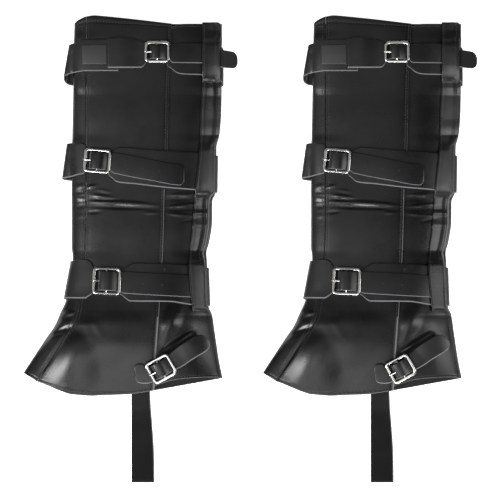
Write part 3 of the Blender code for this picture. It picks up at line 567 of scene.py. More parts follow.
def add_node(tree: bpy.types.NodeTree, kind: str, settings: dict[str, object] | None = None,
             inputs: dict[str, object] | None = None) -> bpy.types.Node:
    """Adds a shader node with its settings, values and links.

    Args:
        tree: The node tree that it goes into.
        kind: The node's type name.
        settings: Properties of the node by name.
        inputs: What each input takes by name: a value, or a socket to link from.

    Returns:
        The node.
    """
    node = tree.nodes.new(kind)
    for name, value in (settings or {}).items():
        setattr(node, name, value)
    for name, value in (inputs or {}).items():
        socket = node.inputs[name]
        if isinstance(value, bpy.types.NodeSocket):
            tree.links.new(value, socket)
        else:
            socket.default_value = value
    return node


@dataclass(frozen=True)
class Finish:
    """What every finish has: a name, and a dark and a pale tone that a pattern mixes."""

    name: str
    dark: str
    pale: str

    def begun(self) -> tuple[bpy.types.Material, bpy.types.Node, bpy.types.NodeSocket]:
        """Starts the material.

        Returns:
            The material, its shader, and the place on the object that its patterns read.
        """
        material = bpy.data.materials.new(self.name)
        material.use_nodes = True
        place = add_node(material.node_tree, "ShaderNodeTexCoord").outputs["Object"]
        return material, material.node_tree.nodes["Principled BSDF"], place

    def toned(self, shader: bpy.types.Node, factor: bpy.types.NodeSocket) -> None:
        """Mixes the two tones by a pattern into the shader's base colour.

        Args:
            shader: The material's shader.
            factor: The pattern, from 0 for the dark tone to 1 for the pale one.
        """
        tree = shader.id_data
        color = add_node(tree, "ShaderNodeMix", {"data_type": "RGBA"}, {"Factor": factor})
        color.inputs["A"].default_value = linear(self.dark)
        color.inputs["B"].default_value = linear(self.pale)
        tree.links.new(color.outputs["Result"], shader.inputs["Base Color"])

    def raised(self, shader: bpy.types.Node, height: bpy.types.NodeSocket, strength: float,
               depth_mm: float) -> None:
        """Raises the surface by a pattern.

        Args:
            shader: The material's shader.
            height: The pattern.
            strength: How strongly it shows.
            depth_mm: How deep the real pattern is, in mm.
        """
        tree = shader.id_data
        relief = add_node(tree, "ShaderNodeBump", {}, {
            "Height": height, "Strength": strength, "Distance": depth_mm * MM})
        tree.links.new(relief.outputs["Normal"], shader.inputs["Normal"])


@dataclass(frozen=True)
class LeatherFinish(Finish):
    """Polyurethane-coated leather cloth, embossed with a fine grain between rollers.

    The coat gives a satin gloss whose highlights break up softly in the grain, and it is a little
    duller and paler in clouds a few centimetres wide, where it has been handled.
    """

    rough: float
    rough_spread: float
    specular: float
    grain_mm: float = 1.3
    grain_depth_mm: float = 0.05
    cloud_mm: float = 38.0
    pore_mm: float = 0.5
    pore_share: float = 0.35

    def material(self) -> bpy.types.Material:
        """Makes the material.

        Returns:
            The material.
        """
        material, shader, place = self.begun()
        tree = material.node_tree
        clouds = add_node(tree, "ShaderNodeTexNoise", {}, {
            "Vector": place, "Scale": 1.0 / (self.cloud_mm * MM), "Detail": 3.0, "Roughness": 0.55})
        tint = add_node(tree, "ShaderNodeMapRange", {}, {
            "Value": clouds.outputs["Fac"], "From Min": 0.32, "From Max": 0.7})
        rough = add_node(tree, "ShaderNodeMapRange", {}, {
            "Value": clouds.outputs["Fac"], "From Min": 0.3, "From Max": 0.7,
            "To Min": self.rough - self.rough_spread, "To Max": self.rough + self.rough_spread})
        grain = add_node(tree, "ShaderNodeTexVoronoi", {"feature": "SMOOTH_F1"}, {
            "Vector": place, "Scale": 1.0 / (self.grain_mm * MM), "Smoothness": 0.6})
        pores = add_node(tree, "ShaderNodeTexNoise", {}, {
            "Vector": place, "Scale": 1.0 / (self.pore_mm * MM), "Detail": 2.0})
        relief = add_node(tree, "ShaderNodeMath", {"operation": "MULTIPLY_ADD"})
        tree.links.new(pores.outputs["Fac"], relief.inputs[0])
        relief.inputs[1].default_value = self.pore_share
        tree.links.new(grain.outputs["Distance"], relief.inputs[2])
        tree.links.new(rough.outputs[0], shader.inputs["Roughness"])
        shader.inputs["Specular IOR Level"].default_value = self.specular
        shader.inputs["IOR"].default_value = 1.5
        self.toned(shader, tint.outputs[0])
        self.raised(shader, relief.outputs[0], 0.55, self.grain_depth_mm)
        return material


@dataclass(frozen=True)
class BackingFinish(Finish):
    """Knitted polyester backing, bonded under the coat: matt, with fine ribs of loops."""

    rib_mm: float = 1.2
    rib_depth_mm: float = 0.15

    def material(self) -> bpy.types.Material:
        """Makes the material.

        Returns:
            The material.
        """
        material, shader, place = self.begun()
        ribs = add_node(material.node_tree, "ShaderNodeTexWave", {"bands_direction": "X"}, {
            "Vector": place, "Scale": 1.0 / (self.rib_mm * BAND_RATIO * MM), "Distortion": 1.5})
        shader.inputs["Roughness"].default_value = 0.85
        shader.inputs["Specular IOR Level"].default_value = 0.25
        self.toned(shader, ribs.outputs["Fac"])
        self.raised(shader, ribs.outputs["Fac"], 0.6, self.rib_depth_mm)
        return material


@dataclass(frozen=True)
class PlainFinish(Finish):
    """A finish of one colour, clouded and roughened by a fine noise."""

    rough: float
    metallic: float = 0.0
    noise_mm: float = 2.0
    relief_mm: float = 0.02

    def material(self) -> bpy.types.Material:
        """Makes the material.

        Returns:
            The material.
        """
        material, shader, place = self.begun()
        tree = material.node_tree
        noise = add_node(tree, "ShaderNodeTexNoise", {}, {
            "Vector": place, "Scale": 1.0 / (self.noise_mm * MM), "Detail": 3.0})
        rough = add_node(tree, "ShaderNodeMapRange", {}, {
            "Value": noise.outputs["Fac"], "To Min": self.rough * 0.8, "To Max": self.rough * 1.2})
        tree.links.new(rough.outputs[0], shader.inputs["Roughness"])
        shader.inputs["Metallic"].default_value = self.metallic
        self.toned(shader, noise.outputs["Fac"])
        self.raised(shader, noise.outputs["Fac"], 0.5, self.relief_mm)
        return material


class Wardrobe:
    """The materials of the pair, made once and shared."""

    def __init__(self) -> None:
        """Makes each material."""
        # Satin black with a visible grain: the panels
        self.panel = LeatherFinish(
            "grained_leather_cloth", "#09090a", "#0e0e0f", 0.29, 0.05, 0.39).material()
        # The same cloth, smoother, so that highlights run on along a strap
        self.strap = LeatherFinish(
            "smooth_leather_cloth", "#0b0b0c", "#121213", 0.3, 0.05, 0.42, 1.0, 0.03).material()
        # Stretched and rubbed where it is turned in, so a little paler and duller
        self.fold_edge = LeatherFinish(
            "turned_leather_edge", "#0c0c0d", "#151516", 0.36, 0.05, 0.45, 0.8, 0.03).material()
        # Matt, so that a cover is dark inside
        self.back = BackingFinish("knitted_polyester_backing", "#0c0c0d", "#1b1b1d").material()
        # Raw knit fibres between the coats show as a thin pale line, painted only on the edges that
        # face the lights as painted highlight
        self.cut_edge = PlainFinish("cut_leather_edge", "#434345", "#5a5a5d", 0.6).material()
        # Twisted thread catches a soft light on each stitch
        self.thread = PlainFinish(
            "spun_polyester_thread", "#1c1c1e", "#303032", 0.6, 0.0, 0.6, 0.08).material()
        # Brushed, so paler than the belt and with no gloss
        self.patch = LeatherFinish(
            "brushed_leather_patch", "#161617", "#1e1e20", 0.5, 0.05, 0.4, 1.0, 0.03).material()
        # Nearly without gloss, and painted darker than the straps as painted shade, where the stirrup
        # lies away from the lights: the stirrup
        self.dull = LeatherFinish(
            "dull_leather_cloth", "#050506", "#0a0a0b", 0.45, 0.05, 0.12).material()
        # Painted shade: the dark disc stands for the open hole, with the dark cloth below it in shade
        self.hole = PlainFinish("hole_painted_shade", "#050505", "#0b0b0b", 0.8).material()
        # Bright plate mirrors the lights in hard white stretches
        self.nickel = PlainFinish(
            "bright_nickel_plate", "#a5a4a2", "#c4c3c0", 0.13, 1.0, 6.0, 0.01).material()


# ------------------------ pieces and their places


class Slot(Enum):
    """The record's material slots."""

    PANEL = "panel_leather"
    STRAP = "strap_leather"
    NICKEL = "nickel_steel"


class Held(Enum):
    """How a sheet is held in its shape."""

    LAID = "laid"
    FOLDED = "folded"


@dataclass
class Piece:
    """One finished piece of a cover, and what it stands for.

    Args:
        name: The piece's name without its side.
        mesh: Its mesh about the cover's own middle, in metres.
        materials: Its materials, in the order of its faces' indices.
        nodes: The CAD nodes that it replaces, without their side.
        slot: The record's material slot; not used.
        flat: The flat size of its cut, width and length in metres, if it is a sheet; not used.
        area: The cut's flat area in square metres, where it isn't a rectangle; not used.
        held: How the sheet is held; not used.
        rests_on: What the sheet rests on, as pieces' names without their side; not used.
    """

    name: str
    mesh: bpy.types.Mesh
    materials: list[bpy.types.Material]
    nodes: tuple[str, ...] = ()
    slot: Slot | None = None
    flat: tuple[float, float] | None = None
    area: float | None = None
    held: Held = Held.LAID
    rests_on: tuple[str, ...] = ()

    def place(self, side: Side) -> bpy.types.Object:
        """Sets a copy of the piece at its place on one side of the pair.

        Args:
            side: The cover that it goes on.

        Returns:
            The piece's object, which rides on the part's one body.
        """
        mesh = self.mesh.copy()
        mesh.transform(Matrix.Translation((side.shift * MM, 0.0, 0.0)))
        for material in self.materials:
            mesh.materials.append(material)
        piece = bpy.data.objects.new(f"{side.label}_{self.name}", mesh)
        bpy.context.scene.collection.objects.link(piece)
        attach(piece, "root")
        if self.nodes:
            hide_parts(*[f"{side.label}_{node}" for node in self.nodes])
        return piece

    def declare(self, side: Side, placed: dict[str, bpy.types.Object]) -> None:
        """Does nothing: the sheet's flat size is not stated.

        Args:
            side: The cover that it is on; not used.
            placed: The placed pieces by name; not used.
        """


# ------------------------ panels


@dataclass(frozen=True)
class Seam:
    """A line of stitches that shows on one piece.

    Args:
        piece: The piece that the stitches lie on.
        line: Points along the seam, in mm, of which X and Y are read.
        pitch: How far apart the stitches are.
    """

    piece: str
    line: Array
    pitch: float = 3.4


@dataclass(frozen=True)
class Rows:
    """Rows down the leg: heights in the shaft, then shares of the way to the hem in the foot."""

    y: Array
    foot: Array

    @staticmethod
    def made(foot_start: float, foot_length: float) -> "Rows":
        """Makes the rows, closer together at the rims and where the cloth is creased.

        Args:
            foot_start: Where the foot starts, up the leg, in mm.
            foot_length: About how long the foot is down to the hem, in mm.

        Returns:
            The rows.
        """
        rim = Rim.TURNED.distance
        shaft = [*(TOP_Y - rim)]
        while shaft[-1] > foot_start + 1.0:
            y = shaft[-1]
            creased = any(low < y < top for low, top in CREASED_ROWS)
            shaft.append(max(y - (CREASED_STEP if creased else ROW_STEP), foot_start))
        last = rim[-1] / foot_length
        foot = np.linspace(0.0, 1.0 - last, FOOT_STEPS + 1)[1:]
        foot = np.concatenate((foot, 1.0 - rim[::-1][1:] / foot_length))
        y = np.concatenate((shaft, np.full(len(foot), foot_start)))
        return Rows(y, np.concatenate((np.zeros(len(shaft)), foot)))

    def rimmed(self, rim: Array, between: float) -> Array:
        """Spreads values down the rows.

        Args:
            rim: A rim's values, which go to both ends.
            between: The value of the rows between them.

        Returns:
            One value for each row.
        """
        values = np.full(len(self.y), between)
        values[:len(rim)] = rim
        values[-len(rim):] = rim[::-1]
        return values

    @property
    def thickness(self) -> Array:
        """Each row's share of the full thickness."""
        return self.rimmed(Rim.TURNED.thickness, 1.0)

    @property
    def sink(self) -> Array:
        """How far each row sinks below the sheet's face, in mm."""
        return self.rimmed(Rim.TURNED.sink, 0.0)

    def top(self) -> Array:
        """How much of the top edge's own shape each row takes, from 1 there to 0 below it."""
        return np.clip((self.y - (TOP_Y - TOP_DEPTH)) / TOP_DEPTH, 0.0, 1.0)


@dataclass
class Panels:
    """The cover's body: a front strip, a front panel lapped over a rear panel, and an inner panel."""

    form: Form
    wardrobe: Wardrobe
    guide_points: int = 240
    outer_steps: int = 34
    inner_steps: int = 22
    strip_steps: int = 18
    foot_start: float = -78.0
    foot_length: float = 80.0
    seam_end_y: float = -146.3
    # Below this height up the leg, in mm, the lap's edge is painted pale as painted highlight
    pale_from: float = 68.0
    seam_gap: float = 0.3
    lap_depth: float = 12.0
    flap_sink: float = 0.6
    flap_step: float = 1.5
    flange_inset: float = 0.4
    flap_rate: float = 6.0
    lap_start: float = 0.04
    lap_ramp: float = 0.6
    strip_t: float = 1.7
    strip_crowd_from: float = 0.7
    strip_crowd: float = 1.5
    strip_top_bow: float = 0.6
    strip_outer_from: float = 4.0
    seam_top: float = 8.4
    top_rise: Table = ((0.0, 0.0), (0.11, 2.1), (0.48, 1.6), (1.0, 0.0))
    hem_sag: Table = (
        (0.0, 0.0), (0.09, -3.8), (0.22, -9.7), (0.29, -11.8), (0.44, -12.0), (0.56, -10.1),
        (0.77, -6.8), (1.0, 0.0),
    )
    rear_top_drop: Table = ((0.0, 3.6), (0.05, 3.2), (0.11, 1.2), (0.2, 0.2), (0.3, 0.0), (1.0, 0.0))
    rear_hem_rise: Table = ((0.0, 1.5), (0.33, 5.4), (0.73, 3.6), (1.0, 0.0))
    rows: Rows = field(init=False)
    seams: list[Seam] = field(default_factory=list)

    def __post_init__(self) -> None:
        """Makes the rows that all panels share."""
        self.rows = Rows.made(self.foot_start, self.foot_length)

    def guide(self, table: Table, end_y: float | None = None) -> Array:
        """Points of an edge on each row, as (x, y).

        Args:
            table: The edge as (y, x) pairs.
            end_y: Where the edge ends in the foot, if not at its last pair.

        Returns:
            One point for each row.
        """
        last = min(y for y, _ in table) if end_y is None else end_y
        rows = self.rows
        down = np.linspace(self.foot_start, last, self.guide_points)
        out = smooth(table, down)
        run = np.concatenate(([0.0], np.cumsum(np.hypot(np.diff(down), np.diff(out)))))
        y = np.where(rows.foot > 0.0, np.interp(rows.foot * run[-1], run, down), rows.y)
        return np.stack((smooth(table, y), y), axis=1)

    @staticmethod
    def spots(left: Array, right: Array, spread: Spread) -> tuple[Array, Array]:
        """Finds the places between two edges on each row.

        Args:
            left: The edge nearer the toe, one (x, y) point for each row.
            right: The edge nearer the heel.
            spread: The places across.

        Returns:
            The places' x and their y.
        """
        share = spread.distance
        x = left[:, :1] + (right - left)[:, :1] * share
        y = left[:, 1:] + (right - left)[:, 1:] * share
        return x, y

    def shell(self, name: str, x: Array, y: Array, sunk: Array,
              spread: Spread) -> bpy.types.Mesh:
        """A panel that follows the outer side, some way below its face.

        Args:
            name: The mesh's name.
            x: Places from the toe to the heel.
            y: Places up the leg.
            sunk: How far the panel's face lies below the outer side's.
            spread: The places' rims.

        Returns:
            The panel's mesh.
        """
        form = self.form
        sink = spread.sink[None, :] + self.rows.sink[:, None]
        share = np.minimum(spread.thickness[None, :], self.rows.thickness[:, None])
        middle = -sunk - sink - form.panel_t / 2.0
        half = share * form.panel_t / 2.0
        face, back = form.on_outer(x, y, middle + half), form.on_outer(x, y, middle - half)
        row = Rim.TURNED.stitch_row
        lines = (face[row], face[-1 - row], face[:, -1 - row])
        self.seams += [Seam(f"{name}_cloth", line) for line in lines]
        if name == "front_panel":
            self.seams.append(Seam("front_panel_cloth", face[:, Rim.SEAMED.stitch_row]))
            # The lap's edge is painted pale below the middle belt, and wider in the foot: partly the
            # raw edge's own pale core, partly painted highlight where it faces the lights; above, it
            # keeps the turned edge's dark colour as painted shade
            cells = rim_cells(*x.shape)
            foot = self.rows.foot[1:] > 0.0
            cells[foot | (self.rows.y[1:] < self.pale_from), -2:] = Layer.PALE.value
            cells[foot, -3:] = Layer.PALE.value
            return sheet_mesh(name, face, back, cells)
        return sheet_mesh(name, face, back)

    def front_panel(self) -> Piece:
        """The vamp and shaft panel between the strip's seam and its own lapped rear edge.

        Returns:
            The panel's piece.
        """
        rows = self.rows
        seam, lap = self.guide(STRIP_SEAM), self.guide(LAP_EDGE)
        seam[:, 0] += self.seam_gap / 2.0
        seam[:, 1] += self.seam_top * rows.top()
        width = np.linalg.norm(lap - seam, axis=1)
        spread = Spread.over(width, self.outer_steps, Rim.SEAMED, Rim.TURNED)
        x, y = self.spots(seam, lap, spread)
        y = y + smooth(self.top_rise, spread.distance) * rows.top()[:, None]
        y = y + smooth(self.hem_sag, spread.distance) * (rows.foot**2)[:, None]
        mesh = self.shell("front_panel", x, y, np.zeros_like(x), spread)
        return Piece("front_panel_cloth", mesh, self.dress(), ("front_panel",), Slot.PANEL,
                     (0.15, 0.445), 0.0434, Held.LAID, ("rear_panel_cloth", "inner_panel_cloth"))

    def rear_panel(self) -> Piece:
        """The panel from under the front panel's edge to the rear seam.

        Returns:
            The panel's piece.
        """
        form, rows = self.form, self.rows
        lap, rear = self.guide(LAP_EDGE), self.guide(REAR_EDGE, self.seam_end_y)
        rear[:, 0] -= self.flange_inset
        under = lap.copy()
        under[:, 0] -= self.lap_depth
        step = self.flap_step * eased(rows.foot * self.flap_rate)
        under[:, 1] += step
        width = np.linalg.norm(rear - under, axis=1)
        spread = Spread.over(width, self.outer_steps, Rim.CUT, Rim.FLANGED)
        depth = (spread.distance * width[:, None] - self.lap_depth) / (width - self.lap_depth)[:, None]
        share = np.clip(depth, 0.0, 1.0)
        x, y = self.spots(under, rear, spread)
        y = y - share * step[:, None]
        rise = smooth(self.rear_hem_rise, share) * eased(depth * self.flap_rate + 1.0)
        y = y + rise * (rows.foot**2)[:, None]
        y = y - smooth(self.rear_top_drop, share) * rows.top()[:, None]
        drop = form.panel_t + form.gap
        sunk = drop * np.clip(1.0 - (share - self.lap_start) / self.lap_ramp, 0.0, 1.0)
        sunk = sunk + self.flap_sink * np.clip(-depth * self.flap_rate, 0.0, 1.0)
        mesh = self.shell("rear_panel", x, y, sunk, spread)
        return Piece("rear_panel_cloth", mesh, self.dress(), ("rear_panel",), Slot.PANEL,
                     (0.09, 0.412), 0.0306, Held.LAID, ("inner_panel_cloth",))

    def front_strip(self) -> Piece:
        """The band folded round the front edge, from the front panel's seam to the inner panel's.

        Returns:
            The panel's piece.
        """
        form, rows, rim = self.form, self.rows, Rim.SEAMED
        edge, seam = self.guide(FRONT_EDGE), self.guide(STRIP_SEAM)
        seam[:, 0] -= self.seam_gap / 2.0
        run = seam - edge
        width = np.linalg.norm(run, axis=1)
        # On the outer side the columns crowd towards the fold, whose own points take over there
        share = 1.0 - Spread.over(width, self.strip_steps, rim, Rim.CUT).distance[:, :-3]
        crowd_from = self.strip_crowd_from
        crowded = crowd_from * (share / crowd_from) ** self.strip_crowd
        share = np.where(share < crowd_from, crowded, share)
        top = rows.top()[:, None]
        x = edge[:, :1] + run[:, :1] * share
        y = edge[:, 1:] + run[:, 1:] * share + self.seam_top * share**self.strip_top_bow * top
        outer = np.stack((x, y, form.height(x, y)), axis=-1)
        lift = form.lift(edge[:, 1])
        inward = run / width[:, None]
        under = [np.column_stack((edge + inward * reach, lift + z)) for reach, z in FRONT_FOLD]
        # On the inner side two columns lie between the fold and the seam's rim
        folded, inner_rim = FRONT_FOLD[-1][0], rim.distance[::-1]
        for part in (0.33, 0.67):
            reach = folded + (width - inner_rim[0] - folded) * part
            place = edge + inward * reach[:, None]
            under.append(np.column_stack((place, form.lift(place[:, 1]))))
        for distance in inner_rim:
            place = seam - inward * distance
            under.append(np.column_stack((place, form.lift(place[:, 1]))))
        outside = np.concatenate((outer, np.stack(under, axis=1)), axis=1)
        columns, rims = outside.shape[1], len(inner_rim)
        thickness = np.ones(columns)
        sink = np.zeros(columns)
        thickness[:rims], thickness[-rims:] = rim.thickness, rim.thickness[::-1]
        sink[:rims] = rim.sink
        share = np.minimum(thickness[None, :], rows.thickness[:, None])
        inset = sink[None, :] + rows.sink[:, None] * (outside[:, :, 2] > self.strip_outer_from)
        normals = grid_normals(outside)
        normals *= np.where(np.sum(normals[:, :rims, 2]) < 0.0, -1.0, 1.0)
        half = self.strip_t / 2.0
        face = outside - normals * (inset + half * (1.0 - share))[..., None]
        back = outside - normals * (inset + half * (1.0 + share))[..., None]
        row = Rim.TURNED.stitch_row
        lines = (face[row], face[-1 - row], face[:, rim.stitch_row])
        self.seams += [Seam("front_strip_cloth", line) for line in lines]
        mesh = sheet_mesh("front_strip", face, back)
        return Piece("front_strip_cloth", mesh, self.dress(),
                     ("front_strip", "ankle_strip", "toe_strip"), Slot.PANEL,
                     (0.046, 0.455), 0.0184, Held.FOLDED, ("front_panel_cloth",))

    def inner_panel(self) -> Piece:
        """The inner side, flat on the surface but for its humps over the belts.

        Returns:
            The panel's piece.
        """
        form, rows = self.form, self.rows
        seam, lap = self.guide(STRIP_SEAM), self.guide(LAP_EDGE)
        rear = self.guide(REAR_EDGE)
        seam[:, 0] += self.seam_gap / 2.0
        width = np.linalg.norm(rear - seam, axis=1)
        spread = Spread.over(width, self.inner_steps, Rim.SEAMED, Rim.TURNED)
        at = spread.distance * (rear[:, 0] - seam[:, 0])[:, None]
        split = (lap[:, 0] - seam[:, 0])[:, None]
        first = np.clip(at / split, 0.0, 1.0)
        second = np.clip((at - split) / ((rear[:, 0] - lap[:, 0])[:, None]), 0.0, 1.0)
        x = seam[:, :1] + at
        y = seam[:, 1:] + (lap - seam)[:, 1:] * first + (rear - lap)[:, 1:] * second
        y = y + smooth(self.hem_sag, first) * (rows.foot**2)[:, None]
        share = np.minimum(spread.thickness[None, :], rows.thickness[:, None])
        middle = form.lift(y) + form.panel_t / 2.0
        half = share * form.panel_t / 2.0
        below = np.stack((x, y, middle - half), axis=-1)
        above = np.stack((x, y, middle + half), axis=-1)
        mesh = sheet_mesh("inner_panel", below, above)
        return Piece("inner_panel_cloth", mesh, self.dress(), ("inner_panel",), Slot.PANEL,
                     (0.214, 0.442), 0.0674, Held.LAID, ("middle_belt_strap", "bottom_belt_strap"))

    def dress(self) -> list[bpy.types.Material]:
        """The panels' materials: leather outside, backing inside, turned edges and raw ones."""
        return [self.wardrobe.panel, self.wardrobe.back, self.wardrobe.fold_edge,
                self.wardrobe.cut_edge]

    def build(self) -> list[Piece]:
        """Makes the four panels."""
        return [self.front_strip(), self.front_panel(), self.rear_panel(), self.inner_panel()]


# ------------------------ buckles


@dataclass(frozen=True)
class Buckle:
    """A centre-bar buckle: its centre bar's middle, its turn in plan and its sizes."""

    name: str
    x: float
    y: float
    turn: float
    length: float
    height: float
    strap: float
    frame_bar: float = 3.3
    centre_bar: float = 2.4
    frame_t: float = 2.4
    corner: float = 5.0
    rise: float = 4.4
    tilt: float = 4.1
    prong_r: float = 1.0

    @property
    def reach(self) -> float:
        """How the buckle's reach compares with the one that the rise tables are written for."""
        return (self.length - self.frame_bar) / 2.0 / FULL_REACH

    def matrix(self, form: Form) -> Matrix:
        """The buckle's place: its centre bar over the panel, tilted up to the rear.

        Args:
            form: The form that the cover follows.

        Returns:
            The matrix that takes the buckle there, in metres.
        """
        x, y = np.float64(self.x), np.float64(self.y)
        up = Vector(form.normal(x, y))
        turn = math.radians(self.turn)
        forward = Vector((math.cos(turn), math.sin(turn), 0.0))
        across = up.cross(forward).normalized()
        turned = Matrix((across.cross(up), across, up)).transposed().to_4x4()
        place = Vector(form.on_outer(x, y, self.rise))
        return (Matrix.Translation(place * MM) @ turned
                @ Matrix.Rotation(math.radians(-self.tilt), 4, "Y"))


BUCKLES = {buckle.name: buckle for buckle in (
    Buckle("top", 30.5, 226.4, 0.0, 29.0, 24.5, 16.0),
    Buckle("middle", -37.5, 101.4, -5.0, 31.5, 28.0, 19.5),
    Buckle("bottom", -26.9, -36.8, -2.5, 33.0, 31.5, 22.5),
    Buckle("instep", 34.4, -136.6, 29.3, 29.8, 27.6, 17.6),
)}


@dataclass
class Hardware:
    """The nickel-plated buckles: a rounded frame with a centre bar, and a prong."""

    form: Form
    wardrobe: Wardrobe
    corner_segments: int = 6
    edge_round: float = 0.95
    edge_segments: int = 3
    edge_angle: float = 50.0
    bar_sides: int = 14
    prong_play: float = 0.35

    def settle(self, made: bpy.types.Object, buckle: Buckle) -> bpy.types.Mesh:
        """Takes a made object's mesh to its place on the cover and removes the object.

        Args:
            made: The object, modelled about the origin.
            buckle: The buckle that it is a part of.

        Returns:
            The mesh.
        """
        made.data.transform(buckle.matrix(self.form) @ made.matrix_world)
        mesh = made.data
        bpy.data.objects.remove(made)
        return mesh

    def frame(self, buckle: Buckle) -> Piece:
        """The frame: a plate with rounded corners, its window opened and its section rounded.

        Args:
            buckle: The buckle's sizes and place.

        Returns:
            The frame with its centre bar.
        """
        ops, ctx = bpy.ops, bpy.context
        ops.object.select_all(action="DESELECT")
        ops.mesh.primitive_plane_add(size=1.0)
        made = ctx.object
        made.scale = (buckle.length * MM, buckle.height * MM, 1.0)
        ops.object.transform_apply(location=False, rotation=False, scale=True)
        ops.object.mode_set(mode="EDIT")
        ops.mesh.select_all(action="SELECT")
        ops.mesh.bevel(
            offset=buckle.corner * MM, segments=self.corner_segments, affect="VERTICES")
        ops.mesh.select_all(action="SELECT")
        ops.mesh.inset(thickness=buckle.frame_bar * MM)
        ops.mesh.delete(type="FACE")
        ops.object.mode_set(mode="OBJECT")
        solid = made.modifiers.new("plate", "SOLIDIFY")
        solid.thickness = buckle.frame_t * MM
        solid.offset = 0.0
        soften = made.modifiers.new("round", "BEVEL")
        soften.width, soften.segments = self.edge_round * MM, self.edge_segments
        soften.limit_method = "ANGLE"
        soften.angle_limit = math.radians(self.edge_angle)
        for modifier in ("plate", "round"):
            ops.object.modifier_apply(modifier=modifier)
        ops.object.select_all(action="DESELECT")
        ops.mesh.primitive_cylinder_add(
            vertices=self.bar_sides, radius=buckle.centre_bar / 2.0 * MM,
            depth=(buckle.height - buckle.frame_bar) * MM, rotation=(math.pi / 2.0, 0.0, 0.0))
        bar = ctx.object
        made.select_set(True)
        bar.select_set(True)
        ctx.view_layer.objects.active = made
        ops.object.join()
        ops.object.shade_smooth()
        mesh = self.settle(made, buckle)
        return Piece(f"{buckle.name}_buckle_frame", mesh, [self.wardrobe.nickel],
                     (f"{buckle.name}_buckle",), Slot.NICKEL)

    def prong(self, buckle: Buckle) -> Piece:
        """The prong: a round pin hooked over the centre bar, its tip on the front bar.

        Args:
            buckle: The buckle's sizes and place.

        Returns:
            The prong.
        """
        reach = (buckle.length - buckle.frame_bar) / 2.0
        eye = buckle.frame_t / 2.0 + self.prong_play + buckle.prong_r
        # The pin's middle as (x, z, share of the radius): from under the bar, over it, to the tip
        path = (
            (-1.0, -eye, 1.0), (1.3, -eye, 1.0), (2.5, -1.2, 1.0), (2.5, 1.2, 1.0), (1.3, eye, 1.0),
            (-1.5, eye, 1.15), (-0.55 * reach, eye, 1.05), (1.0 - reach, eye + 0.15, 0.95),
            (-1.0 - reach, eye, 0.8), (-2.4 - reach, eye - 0.5, 0.45),
        )
        ops, ctx = bpy.ops, bpy.context
        ops.object.select_all(action="DESELECT")
        ops.curve.primitive_nurbs_path_add()
        made = ctx.object
        curve = made.data
        curve.splines.clear()
        spline = curve.splines.new("NURBS")
        spline.points.add(len(path) - 1)
        for point, (x, z, width) in zip(spline.points, path):
            point.co = (x * MM, 0.0, z * MM, 1.0)
            point.radius = width
        spline.use_endpoint_u = True
        spline.order_u = 3
        spline.resolution_u = 4
        curve.bevel_depth = buckle.prong_r * MM
        curve.bevel_resolution = 2
        curve.use_fill_caps = True
        ops.object.convert(target="MESH")
        ops.object.mode_set(mode="EDIT")
        ops.mesh.select_all(action="SELECT")
        ops.mesh.remove_doubles(threshold=1e-6)
        ops.mesh.normals_make_consistent(inside=False)
        ops.object.mode_set(mode="OBJECT")
        ops.object.shade_smooth()
        mesh = self.settle(ctx.object, buckle)
        return Piece(f"{buckle.name}_buckle_prong", mesh, [self.wardrobe.nickel],
                     (f"{buckle.name}_prong",), Slot.NICKEL)

    def build(self) -> list[Piece]:
        """Makes the four buckles."""
        return [make(buckle) for buckle in BUCKLES.values() for make in (self.frame, self.prong)]


# ------------------------ belts and straps

# How a tongue rises over a buckle's bar, as (reach from the bar, rise) pairs
TONGUE_RISE: Table = (
    (-11.0, 1.2), (-9.2, 2.4), (-7.4, 5.2), (-5.6, 7.0), (-3.0, 7.75), (0.0, 7.8), (3.0, 7.35),
    (6.0, 6.2), (8.6, 4.75), (10.8, 3.5), (13.0, 2.95),
)
# How a strap's folded end wraps round the bar, in the same pairs
WRAP_RISE: Table = (
    (5.5, 1.8), (-1.1, 1.8), (-2.5, 3.0), (-2.5, 5.8), (-1.1, 7.0), (1.0, 7.0), (3.6, 6.2),
    (6.4, 3.9), (9.0, 1.6),
)
# Round the rear edge, as (reach past it, z, share of the way to the far side's line)
REAR_TURN: Table = (
    (-3.4, 7.45, 0.0), (-1.0, 7.05, 0.15), (1.1, 5.5, 0.45), (1.7, 3.4, 0.75), (1.3, 1.25, 0.95),
    (-1.2, 0.75, 1.0), (-9.0, 0.75, 1.0),
)
# Round the front edge, as (share of the way in from the loop, z, share of the loop's own line)
FRONT_TURN: Table = (
    (0.62, 0.75, 0.0), (0.3, 0.8, 0.05), (0.1, 1.8, 0.2), (0.0, 4.0, 0.45), (0.0, 7.0, 0.7),
    (0.1, 9.8, 0.85),
)


@dataclass(frozen=True)
class Belt:
    """A belt's edges as (x, y): the strap from the front, the one from the rear, and its loop.

    The loop's numbers come in pairs, for the belt's top edge and its low one.
    """

    name: str
    tongue_top: Table
    tongue_low: Table
    fixed_top: Table
    fixed_low: Table
    loop_x: tuple[float, float]
    loop_y: tuple[float, float]
    loop_start: tuple[float, float]
    far_front: tuple[float, float]
    far_rear: tuple[float, float]
    tail_end: float


